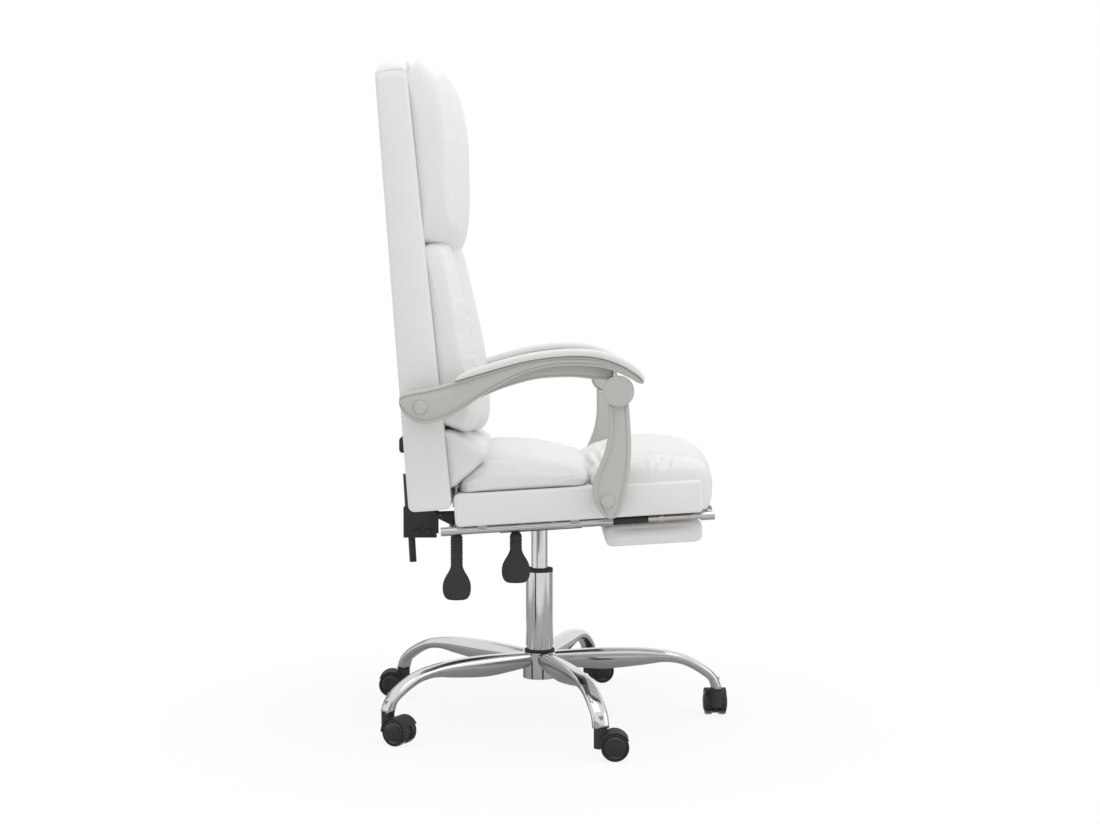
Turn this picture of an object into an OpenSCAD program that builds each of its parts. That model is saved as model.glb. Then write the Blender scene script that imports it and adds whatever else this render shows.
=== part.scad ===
// Reclining office chair on a five-leg swivel base.
// The chair faces -Y. The origin is on the floor, on the column's axis.
// Side outlines are drawn as [forward, up] and turned into place by side().

/* [Base] */
// Distance from the column's axis to each caster stem
leg_reach = 330; // [300:1:350]
// Width of a leg across its run
leg_w = 30; // [26:1:34]
// Height of the leg's end above the floor
leg_end_z = 55; // [54:1:62]
// Outer diameter of the hub
hub_d = 62; // [58:1:66]
// Outer diameter of the column tube
column_d = 51; // [49:1:54]
// Height of the column tube's top
column_top = 275; // [262:1:280]
// Diameter of the lift cylinder
lift_d = 31; // [28:0.5:32]

/* [Casters] */
// Diameter of a caster wheel
wheel_d = 48; // [44:1:50]
// Width of one caster wheel
wheel_w = 14; // [11:0.5:15]
// Distance the wheel axle trails behind the stem
caster_trail = 24; // [20:1:26]
// Diameter of the caster stem
stem_d = 11; // [9:0.5:12]
// Diameter of the wheel axle
axle_d = 6; // [5:0.5:7]

/* [Seat] */
// Height of the seat's underside at the column
seat_z = 395; // [385:1:400]
// Backward tilt of the seat, in degrees
seat_tilt = 3.5; // [2.5:0.1:4.5]
// Width of the upholstered seat base
seat_w = 490; // [470:1:510]
// Thickness of the upholstered seat base
seat_t = 57; // [50:1:64]
// Forward reach of the seat base from the column
seat_front = 283; // [270:1:290]
// Height of the rear seat cushion's crown above the seat base
rear_crown = 60; // [50:1:64]
// Height of the front seat cushion's crown above the seat base
front_crown = 53; // [44:1:58]

/* [Back] */
// Backward lean of the back's rear face, in degrees
back_lean = 4.1; // [3:0.1:5]
// Width of the upholstered back
back_w = 490; // [470:1:510]
// Height of the back at its sides
back_h = 745; // [720:1:770]
// Rise of the back's arched top over its sides
back_arch = 44; // [30:1:55]
// Thickness of the back at its foot
back_t = 75; // [70:1:77]
// Thickness of the back at its top
back_top_t = 54; // [48:1:60]

/* [Armrests] */
// Gap between the seat's side and the armrest's inner face
arm_gap = 17; // [14:1:22]
// Width of the armrest bar
arm_w = 40; // [36:1:44]
// Width of the armrest pad
pad_w = 52; // [46:1:58]
// Thickness of the armrest pad
pad_t = 12; // [9:1:15]
// Diameter of the armrest's pivot pins
arm_pin_d = 10; // [8:0.5:11]
// Diameter of the round cover on the post
disc_d = 53; // [50:1:54]

/* [Footrest] */
// Sideways distance between the two footrest rails
rail_span = 450; // [436:1:460]
// Diameter of the fixed rail tubes
rail_d = 14; // [13:0.5:14.5]
// Diameter of the sliding rods
rod_d = 9.5; // [8:0.5:10]
// Width of the footrest pad
footrest_w = 390; // [360:1:400]
// Thickness of the footrest pad with its board
footrest_t = 40; // [34:1:42]

/* [Levers] */
// Diameter of the lever rods
lever_rod_d = 8; // [7:0.5:9]
// Diameter of the ribbed lever neck over its ribs
neck_d = 21; // [19:0.5:22]
// Width of a lever paddle
paddle_w = 50; // [44:1:54]
// Thickness of a lever paddle
paddle_t = 13; // [11:0.5:16]

/* [Hidden] */
$fn = 64;

// Clearances
fit = 0.06;      // running fit of a pin in its bore, on the radius
seat_gap = 0.3;  // between pieces that rest on each other
run_gap = 0.5;   // between pieces that pass each other

// Base
legs = 5;
leg_turn = -90;          // the first leg points to the front
hub_bottom = 77;
hub_top = 126;
column_wall = 2.5;
cone_top = 137;          // the column's taper shows between here and the hub
cone_top_r = column_d / 2 - 1.4;
cone_foot_r = cone_top_r - 2;
column_foot = 82;
plate_t = 4;             // plate across the column's foot
bush_foot = 190;
bush_top = 281;
piston_rod_r = 5;
piston_top = 262;
bearing_z = column_foot + plate_t + 0.2;
bearing_t = 5;
bearing_r = 12;
lift_foot = 155;         // lower end of the lift cylinder
lift_top = 380;
lift_wall = 2.5;
clip_t = 1.6;

// Casters, each turned as it stands in the photograph
caster_turns = [0, -75, 90, -120, -90];
caster_gap = 12;         // between the two wheels
hood_r = wheel_d / 2 + 2.2;
hood_wall = 1.6;
hub_boss_r = 9.6;
stem_len = 46;
stem_socket = 22;        // depth of the stem in the leg
housing_gap = 0.4;       // between the leg's end and the caster

// Seat
seat_rear = 146;         // from the column back to the seat's rear
board_t = 12;
board_margin = 14;
mech_l = 150;
mech_w = 120;
mech_h = 37;
mech_wall = 2.5;
mech_top_t = 3;
bolt_d = 6;
bolt_head = 4;
mech_bolt_x = 75;
mech_bolt_y = 55;
socket_r = lift_d / 2 + 5;
mech_flange_w = 2 * mech_bolt_x + 24;

// Armrest pivots, as [forward, up]
pivot_a = [-201, 596];   // bar on the back
pivot_b = [132, 623];    // bar on the post
pivot_c = [114, 436];    // post on the seat
// The four pivots make a parallelogram, so the back's hinge follows from the other three
pivot_h = pivot_a - pivot_b + pivot_c;

// Recline mechanism
foot = [-226, 412];      // rear lower edge of the back
spring_p = [-238, 352];  // lower pivot of the gas spring
spring_q = [-247, 512];  // upper pivot of the gas spring
notch_w = 104;           // opening in the back's foot for the bracket
notch_h = 34;
cheek_x = 32;            // middle of a seat cheek
cheek_t = 4;
ear_x = 25;              // middle of a back ear
ear_t = 4;
hinge_r = 6;
spring_r = 9;
spring_tail_r = 6.5;
spring_rod_r = 4;
spring_pin_r = 5;
spring_eye_r = 9.5;
spring_len = norm(spring_q - spring_p);
spring_lean = atan2(spring_p[0] - spring_q[0], spring_q[1] - spring_p[1]);
bolts_low = [[-224, 351], [-204, 353]];
low_bolt_r = 3.5;
flange_t = 4;
bracket_bolt_x = 50;
bracket_bolt_y = 114;
plate_back_t = 3;
plate_w = 90;
plate_from = notch_h + 3;
plate_to = 185;
plate_bolts = [55, 165];
plate_bolt_x = 38;

// Back
back_taper = atan((back_t - back_top_t) / back_h);
face_lean = back_lean + back_taper;
face_drop = back_t * sin(back_lean);
face_foot = foot + [back_t * cos(back_lean) + face_drop * tan(face_lean), 0];
back_board_t = 15;
board_s = 22;            // depth of the inner board behind the rear face
board_from = 60;

// Armrests
arm_in = max(seat_w, back_w) / 2 + arm_gap;
arm_mid = arm_in + arm_w / 2;
post_t = 30;
lug_t = 13;
disc_t = 8;
boss_r = 12;
pin_grip_a = 21;         // depth of the upper pins in the back
pin_grip_c = 33;         // depth of the lower pins in the seat
pin_a_in = back_w / 2 - pin_grip_a;
pin_a_out = arm_in + arm_w + 4;
pin_c_in = seat_w / 2 - pin_grip_c;
pin_c_out = arm_in + post_t + 2;

// Footrest
rail_w = -8;             // height of the rails against the seat's underside
rail_rear = 172;
rail_front = 126;
bush_len = 61;
hinge_u = 298;
rod_rear = 150;
pad_rear = 112;
pad_front = 283;
pad_top = -17;
ferrule_r = 7.8;
ferrule_len = 25;
hinge_rod_r = 4.5;

// Levers, as [forward, up] of the rod
height_rod = [-42, 367];
recline_rod = [-145, 364];
lever_x = -204;          // sideways place of the lever necks
height_axle_x = -38;
recline_axle_x = -45;
axle_r = 5;
height_foot = 340;       // lower end of each ribbed neck
recline_foot = 313;

// Curves
function mid(a, b, t) = a + (b - a) * t;
function knot(p, i) = p[max(0, min(len(p) - 1, i))];
function ring_knot(p, i) = p[(i + len(p)) % len(p)];
function curve_at(a, b, c, d, t) =
    0.5 * ((2 * b) + (c - a) * t + (2 * a - 5 * b + 4 * c - d) * t * t + (3 * b - a - 3 * c + d) * t * t * t);
// Smooth open curve through the points of p, n steps between each two
function curve(p, n) = [
    for (i = [0:len(p) - 2], k = [0:n - 1]) curve_at(knot(p, i - 1), p[i], p[i + 1], knot(p, i + 2), k / n),
    p[len(p) - 1]
];
// Smooth closed curve through the points of p
function loop(p, n) = [
    for (i = [0:len(p) - 1], k = [0:n - 1])
        curve_at(ring_knot(p, i - 1), p[i], ring_knot(p, i + 1), ring_knot(p, i + 2), k / n)
];

// Placing
module side(x, w) {
    translate([x, 0, 0]) rotate([90, 0, -90]) linear_extrude(w, center = true) children();
}
module cross_pin(p, x, w, r) {
    translate([x - w / 2, -p[0], p[1]]) rotate([0, 90, 0]) cylinder(h = w, r = r);
}
module on_seat() {
    translate([0, 0, seat_z]) rotate([-seat_tilt, 0, 0]) children();
}
module on_back() {
    translate([0, -foot[0], foot[1]]) rotate([-back_lean, 0, 0]) children();
}
module on_face() {
    translate([0, -face_foot[0], face_foot[1]]) rotate([-face_lean, 0, 0]) children();
}
module on_spring() {
    translate([0, -spring_p[0], spring_p[1]]) rotate([-spring_lean, 0, 0]) children();
}
module each_side() {
    children();
    mirror([1, 0, 0]) children();
}
module rounded(w, h, r) {
    union() {
        translate([r, 0]) square([w - 2 * r, h]);
        translate([0, r]) square([w, h - 2 * r]);
        for (x = [r, w - r], y = [r, h - r]) translate([x, y]) circle(r);
    }
}

// A skin through rings of equal count, closed by a face at each end
module skin(rings) {
    n = len(rings[0]);
    m = len(rings);
    polyhedron(
        points = [for (r = rings, p = r) p],
        faces = concat(
            [[for (j = [0:n - 1]) j]],
            [for (i = [0:m - 2], j = [0:n - 1]) [i * n + j, (i + 1) * n + j, (i + 1) * n + (j + 1) % n]],
            [for (i = [0:m - 2], j = [0:n - 1]) [i * n + j, (i + 1) * n + (j + 1) % n, i * n + (j + 1) % n]],
            [[for (j = [n - 1:-1:0]) (m - 1) * n + j]]
        )
    );
}

// Legs: each knot is [reach, height, half height, share of the width]
leg_knots = [
    [22, 113, 13, 0.88], [70, 112, 17, 0.95], [125, 112, 19.5, 1], [190, 115, 16, 1], [233, 115.5, 11, 1],
    [268, 109, 9.3, 1], [300, 93, 9, 1], [322, 75, 9.2, 1], [leg_reach, leg_end_z, 10, 1]
];
leg_sides = 14;
function leg_ring(k, a, wall) = [
    for (j = [0:leg_sides - 1])
        let (t = 360 * j / leg_sides)
        [
            k[0] - (k[2] - wall) * sin(t) * sin(a),
            (leg_w / 2 * k[3] - wall) * cos(t),
            k[1] + (k[2] - wall) * sin(t) * cos(a)
        ]
];
function leg_slope(p, i) =
    i >= len(p) - 2 ? -90 :
    atan2(knot(p, i + 1)[1] - knot(p, i - 1)[1], knot(p, i + 1)[0] - knot(p, i - 1)[0]);
function leg_rings(p, wall, first, last) = [for (i = [first:last]) leg_ring(p[i], leg_slope(p, i), wall)];

module leg(i) {
    path = curve(leg_knots, 2);
    color("silver") rotate(leg_turn + i * 360 / legs) difference() {
        skin(leg_rings(path, 0, 0, len(path) - 1));
        skin(concat([leg_ring(path[0] - [3, 0, 0, 0], 0, 2)], leg_rings(path, 2, 1, 9)));
        cylinder(h = 200, r = hub_d / 2 + 0.1);
        translate([leg_reach, 0, leg_end_z - 1]) cylinder(h = stem_socket + 2, r = stem_d / 2 + fit);
    }
}

module base_hub() {
    color("silver") difference() {
        translate([0, 0, hub_bottom]) cylinder(h = hub_top - hub_bottom, r = hub_d / 2);
        column_cone(fit);
        translate([0, 0, hub_bottom - 1]) cylinder(h = column_foot - hub_bottom + 2, r = cone_foot_r + fit);
    }
}

module column_cone(grow_r) {
    translate([0, 0, column_foot]) rotate_extrude() polygon([
        [0, 0], [cone_foot_r + grow_r, 0], [cone_top_r + grow_r, cone_top - column_foot], [0, cone_top - column_foot]
    ]);
}

module column_tube() {
    bore_r = column_d / 2 - column_wall;
    neck_r = cone_foot_r - column_wall;
    color("silver") difference() {
        union() {
            column_cone(0);
            translate([0, 0, cone_top]) cylinder(h = column_top - cone_top, r = column_d / 2);
        }
        translate([0, 0, column_foot + plate_t]) cylinder(h = column_top, r = neck_r);
        translate([0, 0, cone_top + 3]) cylinder(h = column_top, r = bore_r);
        translate([0, 0, column_foot - 1]) cylinder(h = plate_t + 2, r = piston_rod_r + fit);
    }
}

// Guide bush at the column's top and thrust bearing at its foot
module column_bearings() {
    color("#222222") difference() {
        union() {
            translate([0, 0, bush_foot]) cylinder(h = column_top - bush_foot, r = column_d / 2 - column_wall - fit);
            translate([0, 0, column_top]) cylinder(h = bush_top - column_top, r = column_d / 2 - 0.7);
        }
        translate([0, 0, bush_foot - 1]) cylinder(h = bush_top - bush_foot + 2, r = lift_d / 2 + fit);
    }
    color("gray") translate([0, 0, bearing_z]) difference() {
        cylinder(h = bearing_t, r = bearing_r);
        translate([0, 0, -1]) cylinder(h = bearing_t + 2, r = piston_rod_r + fit);
    }
}

// Piston rod that stands in the column, with its collar, piston and clip
module lift_rod() {
    collar_z = bearing_z + bearing_t + 0.2;
    clip_z = column_foot - 0.2 - clip_t;
    color("silver") union() {
        translate([0, 0, clip_z - 2]) cylinder(h = piston_top - clip_z + 2, r = piston_rod_r);
        translate([0, 0, collar_z]) cylinder(h = 4, r = piston_rod_r + 4);
        translate([0, 0, piston_top - 12]) cylinder(h = 12, r = lift_d / 2 - lift_wall - fit);
        translate([0, 0, clip_z]) cylinder(h = clip_t, r = piston_rod_r + 4);
    }
}

// Casters
module at_caster(i) {
    a = leg_turn + i * 360 / legs;
    translate([leg_reach * cos(a), leg_reach * sin(a), 0]) rotate(caster_turns[i]) children();
}
module caster_axis(w, r) {
    translate([caster_trail, w / 2, wheel_d / 2]) rotate([90, 0, 0]) cylinder(h = w, r = r);
}
module caster_housing(i) {
    wide = caster_gap + 2 * wheel_w;
    top = leg_end_z - housing_gap;
    color("#2a2a2a") at_caster(i) difference() {
        union() {
            difference() {
                caster_axis(wide, hood_r);
                translate([-hood_r, -wide, -hood_r]) cube([3 * hood_r, 2 * wide, wheel_d / 2 + hood_r]);
                translate([caster_trail + hood_r * 0.45, -wide, 0]) cube([hood_r, 2 * wide, wheel_d * 0.75]);
            }
            caster_axis(caster_gap - 1, wheel_d / 2 - 3);
            translate([0, 0, wheel_d / 2 - 4]) cylinder(h = top - wheel_d / 2 + 4, r = hub_boss_r + 2);
        }
        for (m = [0, 1]) mirror([0, m, 0]) translate([0, caster_gap / 2 + wheel_w / 2, 0])
            caster_axis(wheel_w + 1, hood_r - hood_wall);
        translate([0, 0, top - stem_len + stem_socket]) cylinder(h = stem_len, r = stem_d / 2);
        caster_axis(wide + 2, axle_d / 2);
    }
}
module caster_pins(i) {
    wide = caster_gap + 2 * wheel_w;
    top = leg_end_z - housing_gap;
    color("silver") at_caster(i) {
        caster_axis(wide - 1, axle_d / 2);
        translate([0, 0, top - stem_len + stem_socket]) cylinder(h = stem_len - 1, r = stem_d / 2);
    }
}
module caster_wheels(i) {
    r = wheel_d / 2;
    color("#1c1c1c") at_caster(i) for (m = [0, 1]) mirror([0, m, 0])
        translate([caster_trail, caster_gap / 2 + wheel_w, r]) rotate([90, 0, 0]) rotate_extrude() polygon([
            [axle_d / 2 + fit, 0.8], [r - 7, 0.8], [r - 6, 0], [r - 2, 0], [r, 2],
            [r, wheel_w - 2], [r - 2, wheel_w], [axle_d / 2 + fit, wheel_w]
        ]);
}

// Lift
module lift_cylinder() {
    color("silver") difference() {
        translate([0, 0, lift_foot]) cylinder(h = lift_top - lift_foot, r = lift_d / 2);
        translate([0, 0, lift_foot + 12]) cylinder(h = lift_top - lift_foot - 35, r = lift_d / 2 - lift_wall);
        translate([0, 0, lift_foot - 1]) cylinder(h = 20, r = piston_rod_r + fit);
        translate([0, 0, lift_top - 15]) cylinder(h = 20, r = 4 + fit);
    }
}
module lift_button() {
    color("gray") translate([0, 0, lift_top - 11]) cylinder(h = 15, r = 4);
}

// Stamped tray under the seat, with the socket that takes the lift cylinder
module seat_mechanism() {
    color("#2b2b2b") difference() {
        union() {
            on_seat() translate([0, 0, -mech_top_t]) {
                translate([-mech_flange_w / 2, -mech_l / 2, 0]) cube([mech_flange_w, mech_l, mech_top_t]);
            }
            on_seat() difference() {
                translate([-mech_w / 2, -mech_l / 2, -mech_h]) cube([mech_w, mech_l, mech_h - 1]);
                translate([-mech_w / 2 + mech_wall, -mech_l / 2 + mech_wall, -mech_h - 1])
                    cube([mech_w - 2 * mech_wall, mech_l - 2 * mech_wall, mech_h - mech_top_t + 1]);
            }
            translate([0, 0, seat_z - mech_h + 2]) cylinder(h = lift_top - seat_z + mech_h - 3, r = socket_r);
            on_seat() translate([-1.5, -mech_l / 2 + 1, -mech_h + 3]) cube([3, mech_l - 2, 15]);
        }
        translate([0, 0, seat_z - mech_h - 5]) cylinder(h = lift_top - seat_z + mech_h + 5, r = lift_d / 2 + fit);
        translate([height_axle_x, mech_l, height_rod[1]]) rotate([90, 0, 0]) cylinder(h = 2 * mech_l, r = axle_r + fit);
        translate([-mech_w, -height_rod[0] - 6, height_rod[1] - 7]) cube([mech_w / 2 + 10, 12, 22]);
        on_seat() for (x = [-1, 1], y = [-1, 1]) translate([x * mech_bolt_x, y * mech_bolt_y, -10])
            cylinder(h = 20, r = bolt_d / 2 + 0.2);
    }
}

// Hexagon-headed bolts up into the seat board
module seat_bolts() {
    color("silver") on_seat() {
        for (x = [-1, 1], y = [-1, 1]) translate([x * mech_bolt_x, y * mech_bolt_y, -mech_top_t - bolt_head])
            seat_bolt(mech_top_t);
        for (x = [-1, 1]) translate([x * bracket_bolt_x, bracket_bolt_y, -flange_t - bolt_head]) seat_bolt(flange_t);
    }
}
module seat_bolt(under) {
    union() {
        cylinder(h = bolt_head, r = bolt_d * 0.95, $fn = 6);
        cylinder(h = bolt_head + under + board_t - 2, r = bolt_d / 2);
    }
}

// Levers
module neck(top, foot_z) {
    ribs = max(2, floor((top - foot_z) / 6));
    pitch = (top - foot_z) / ribs;
    rotate_extrude() polygon(concat(
        [[0, foot_z]],
        [for (i = [0:ribs - 1], p = [[0, 2.6], [0.15, 0], [0.65, 0], [0.8, 2.6]])
            [neck_d / 2 - p[1], foot_z + (i + p[0]) * pitch]],
        [[neck_d / 2 - 2.6, top], [0, top]]
    ));
}
function paddle_points(h) = [
    [0, 8], [0.2, 6], [0.27, -4], [0.42, -h * 0.32], [0.5, -h * 0.62], [0.42, -h * 0.86], [0.22, -h * 0.97]
];
module paddle(h) {
    half = paddle_points(h);
    side(0, paddle_t) polygon(loop(concat(
        [for (p = half) [p[0] * paddle_w, p[1]]],
        [for (i = [len(half) - 1:-1:1]) [-half[i][0] * paddle_w, half[i][1]]]
    ), 4));
}
module lever_handle(at, foot_z, paddle_h) {
    color("#262626") difference() {
        union() {
            translate([lever_x, -at[0], 0]) neck(at[1] - 2, foot_z);
            translate([lever_x, -at[0], at[1]]) sphere(neck_d / 2 - 2);
            translate([lever_x, -at[0], at[1]]) rotate([0, 90, 0]) cylinder(h = 24, r = neck_d / 2 - 3.5);
            translate([lever_x, -at[0], foot_z]) paddle(paddle_h);
        }
        lever_bar(at, foot_z, fit);
    }
}
module lever_bar(at, foot_z, d) {
    translate([lever_x, -at[0], at[1]]) rotate([0, 90, 0]) cylinder(h = 60, r = lever_rod_d / 2 + d);
    translate([lever_x, -at[0], foot_z - 6]) cylinder(h = at[1] - foot_z + 6, r = lever_rod_d / 2 + d);
    translate([lever_x, -at[0], at[1]]) sphere(lever_rod_d / 2 + d);
}
module lever_rod(at, axle_x, foot_z, axle_from, axle_to) {
    union() {
        lever_bar(at, foot_z, 0);
        translate([lever_x, -at[0], at[1]]) rotate([0, 90, 0]) cylinder(h = axle_x - lever_x, r = lever_rod_d / 2);
        translate([axle_x, -axle_from, at[1]]) rotate([90, 0, 0]) cylinder(h = axle_to - axle_from, r = axle_r);
    }
}
module height_lever_handle() {
    lever_handle(height_rod, height_foot, 55);
}
module recline_lever_handle() {
    lever_handle(recline_rod, recline_foot, 59);
}
module height_lever_rod() {
    button_top = lift_top + 4;
    color("silver") union() {
        lever_rod(height_rod, height_axle_x, height_foot, -mech_l / 2 - 3, mech_l / 2 + 3);
        translate([height_axle_x - 4, -6, height_rod[1]]) cube([8, 12, button_top + 4 - height_rod[1]]);
        translate([height_axle_x - 4, -6, button_top + 1.6]) cube([4 - height_axle_x + 2, 12, 2.4]);
        translate([0, 6, button_top + 2]) rotate([90, 0, 0]) cylinder(h = 12, r = 1.8);
    }
}
module recline_lever_rod() {
    color("silver")
        lever_rod(recline_rod, recline_axle_x, recline_foot, recline_rod[0] - 20, recline_rod[0] + 20);
}

// Seat
module seat_base() {
    in_w = seat_w - 2 * board_margin;
    in_l = seat_front + seat_rear - 2 * board_margin;
    color("white") difference() {
        on_seat() side(0, seat_w) translate([-seat_rear, 0]) rounded(seat_front + seat_rear, seat_t, 8);
        on_seat() translate([-in_w / 2, -seat_front + board_margin, -1]) cube([in_w, in_l, board_t + 1 + seat_gap]);
        each_side() cross_pin(pivot_c, seat_w / 2 - 16, 40, arm_pin_d / 2 + fit);
    }
}
module seat_board() {
    in_w = seat_w - 2 * board_margin - 2 * seat_gap;
    in_l = seat_front + seat_rear - 2 * board_margin - 2 * seat_gap;
    color("tan") on_seat() difference() {
        translate([-in_w / 2, -seat_front + board_margin + seat_gap, 0]) cube([in_w, in_l, board_t]);
        for (x = [-1, 1], y = [-1, 1]) translate([x * mech_bolt_x, y * mech_bolt_y, -1])
            cylinder(h = board_t, r = bolt_d / 2 + fit);
        for (x = [-1, 1]) translate([x * bracket_bolt_x, bracket_bolt_y, -1]) cylinder(h = board_t, r = bolt_d / 2 + fit);
    }
}

// Cushions are skins of side outlines, [along, thick], swept across the chair.
// Each outline is drawn in towards its seat plane at the sides and in the sewn channels.
stations = 27;
function station(i) = sin(180 * i / (stations - 1) - 90);
function dip(t, at, wide) = exp(-pow((t - at) / wide, 2));
function fullness(t, channels, depth) =
    1 - 0.38 * pow(abs(t), 7) - depth * max([for (c = channels) max(dip(t, c, 0.09), dip(t, -c, 0.09))]);
function drawn(p, k, lo, hi, floor_b) =
    let (root = [max(lo, min(hi, p[0])), min(p[1], floor_b)]) root + (p - root) * k;
module cushion(top, closing, w, channels, depth, lo, hi, floor_b, on_the_back) {
    outline = concat(curve(top, 2), closing);
    skin([
        for (i = [0:stations - 1])
            let (t = -station(i), k = fullness(t, channels, depth))
            [for (p = outline) let (q = drawn(p, k, lo, hi, floor_b))
                on_the_back ? [t * w / 2, -q[1], q[0]] : [t * w / 2, -q[0], q[1]]]
    ]);
}
module seat_cushion_rear() {
    r = rear_crown;
    color("white") on_seat() translate([0, 0, seat_t + seat_gap]) mirror([0, 0, 0]) cushion([
        [92, 0], [95, 10], [84, r * 0.42], [40, r * 0.66], [0, r * 0.85], [-50, r], [-76, r * 0.93],
        [-104, r * 0.61], [-124, r * 0.35], [-126, 0]
    ], [], seat_w - 16, [0], 0.22, -90, 60, 0, false);
}
module seat_cushion_front() {
    f = front_crown;
    c = seat_front + seat_gap;
    drop = 14 - seat_t;
    color("white") on_seat() translate([0, 0, seat_t + seat_gap]) cushion([
        [c + 5, drop], [c + 16, drop + 16], [c + 21, -4], [c + 18, f * 0.36], [c + 5, f * 0.78], [c - 28, f * 0.97],
        [200, f], [150, f * 0.9], [115, f * 0.62], [101, f * 0.28], [100, 0]
    ], [[c + 0.2, 0], [c + 0.2, drop + 6]], seat_w - 12, [0], 0.2, 130, c + 0.2, 0, false);
}
module headrest_cushion() {
    top = back_h + 32;
    color("white") on_face() cushion([
        [466, seat_gap], [463, 22], [466, 46], [486, 68], [535, 81], [600, 83], [top - 105, 79], [top - 50, 58],
        [top - 15, 36], [top + 3, 16], [top + 2, seat_gap]
    ], [], back_w - 14, [0.52], 0.1, 500, top - 60, seat_gap, true);
}
module back_cushion() {
    color("white") on_face() cushion([
        [147, seat_gap], [144, 22], [152, 50], [190, 71], [270, 77], [360, 70], [424, 56], [450, 38], [456, 18], [452, seat_gap]
    ], [], back_w - 20, [0.4], 0.16, 180, 420, seat_gap, true);
}
module lumbar_cushion() {
    color("white") on_face() cushion([
        [38, seat_gap], [42, 10], [55, 26], [74, 50], [88, 64], [99, 64], [116, 42], [131, 20], [137, 8], [137, seat_gap]
    ], [], back_w - 26, [0.4], 0.12, 60, 120, seat_gap, true);
}

// Recline mechanism
module recline_bracket() {
    lug = 4;
    color("#2b2b2b") difference() {
        union() {
            each_side() side(cheek_x, cheek_t) union() {
                polygon([
                    [-250, 342], [-250, 398], [-243, 405], pivot_h + [-12, 2], pivot_h + [12, 2], [-201, 398],
                    [-188, 383.2], [-136, 384.8], [-92, 387.4], [-92, 366], [-154, 361], [-170, 369], [-186, 377],
                    [-189, 370], [-189, 342]
                ]);
                translate(pivot_h) circle(12.5);
            }
            on_seat() translate([-62, 92, -flange_t]) cube([124, 44, flange_t - 0.1]);
            for (f = [-1, 1]) translate([recline_axle_x - 7, -recline_rod[0] + f * 14 - lug / 2, recline_rod[1] - 8])
                cube([-recline_axle_x - cheek_x + 7, lug, 17]);
        }
        cross_pin(pivot_h, 0, 90, hinge_r + fit);
        cross_pin(spring_p, 0, 90, spring_pin_r + fit);
        for (b = bolts_low) cross_pin(b, 0, 90, low_bolt_r + fit);
        translate([recline_axle_x, -recline_rod[0] + 30, recline_rod[1]]) rotate([90, 0, 0]) cylinder(h = 60, r = axle_r + fit);
        on_seat() for (x = [-1, 1]) translate([x * bracket_bolt_x, bracket_bolt_y, -10]) cylinder(h = 20, r = bolt_d / 2 + 0.2);
    }
}

// Pins fixed to the seat: the back's hinge, two cross bolts and the lower armrest pivots
module seat_pivot_pins() {
    cheek_out = cheek_x + cheek_t / 2;
    color("silver") {
        cross_pin(pivot_h, 0, 2 * cheek_out + 6, hinge_r);
        for (b = bolts_low) union() {
            cross_pin(b, 0, 2 * cheek_out + 4, low_bolt_r);
            each_side() cross_pin(b, cheek_out + 2.2, 4, low_bolt_r + 2);
        }
        each_side() union() {
            cross_pin(pivot_c, (pin_c_in + pin_c_out) / 2, pin_c_out - pin_c_in, arm_pin_d / 2);
            cross_pin(pivot_c, arm_in + post_t + 2.2, 4, 8);
            cross_pin(pivot_c, (seat_w / 2 + arm_in) / 2, arm_in - seat_w / 2 - 2 * seat_gap, boss_r);
        }
    }
}
// Pins fixed to the back: the rear armrest pivots and the gas spring's upper pivot
module back_pivot_pins() {
    color("silver") {
        cross_pin(spring_q, 0, 30, 4);
        each_side() union() {
            cross_pin(pivot_a, (pin_a_in + pin_a_out) / 2, pin_a_out - pin_a_in, arm_pin_d / 2);
            cross_pin(pivot_a, (back_w / 2 + arm_in) / 2, arm_in - back_w / 2 - 2 * seat_gap, boss_r);
            cross_pin(pivot_a, arm_in + arm_w + 2.2, 4, 9);
        }
    }
}

module gas_spring_cylinder() {
    color("#1e1e1e") difference() {
        union() {
            cross_pin(spring_p, 0, 42, spring_r + 0.5);
            cross_pin(spring_p, 0, 2 * cheek_x + cheek_t + 2, spring_pin_r);
            on_spring() cylinder(h = 105, r = spring_r);
            on_spring() translate([0, 0, -59]) cylinder(h = 60, r = spring_tail_r);
        }
        on_spring() translate([0, 0, 28]) cylinder(h = 68, r = spring_r - 1.8);
        on_spring() translate([0, 0, 90]) cylinder(h = 20, r = spring_rod_r + fit);
    }
}
module gas_spring_rod() {
    slot = 2.6;
    slot_r = 4.7;
    color("silver") on_spring() difference() {
        union() {
            translate([0, 0, 58]) cylinder(h = spring_len - 58 - 6, r = spring_rod_r);
            translate([0, 0, 58]) cylinder(h = 8, r = spring_r - 1.8 - fit);
            translate([-10, 0, spring_len + 1]) rotate([0, 90, 0]) cylinder(h = 20, r = spring_eye_r);
        }
        for (z = [0, slot]) translate([-15, 0, spring_len + z]) rotate([0, 90, 0]) cylinder(h = 30, r = slot_r);
        translate([-15, -slot_r, spring_len]) cube([30, 2 * slot_r, slot]);
    }
}

module back_bracket() {
    color("#2b2b2b") difference() {
        union() {
            on_back() translate([-plate_w / 2, 0.1, plate_from]) cube([plate_w, plate_back_t, plate_to - plate_from]);
            each_side() side(ear_x, ear_t) union() {
                translate(pivot_h) circle(11);
                polygon([pivot_h + [-11, 0], pivot_h + [11, 0], [-212, 440], [-229.5, 445], [-233, 500], [-240, 485], [-240, 440]]);
            }
            each_side() side(13.5, 3) union() {
                translate(spring_q) circle(10.5);
                polygon([spring_q + [-8, -7], spring_q + [-8, 7], [-237, 542], [-234, 480]]);
            }
        }
        cross_pin(pivot_h, 0, 90, hinge_r + fit);
        cross_pin(spring_q, 0, 40, 4 + fit);
        on_back() for (x = [-1, 1], z = plate_bolts) translate([x * plate_bolt_x, 10, z]) rotate([90, 0, 0]) cylinder(h = 12, r = 4.2);
    }
}

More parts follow.
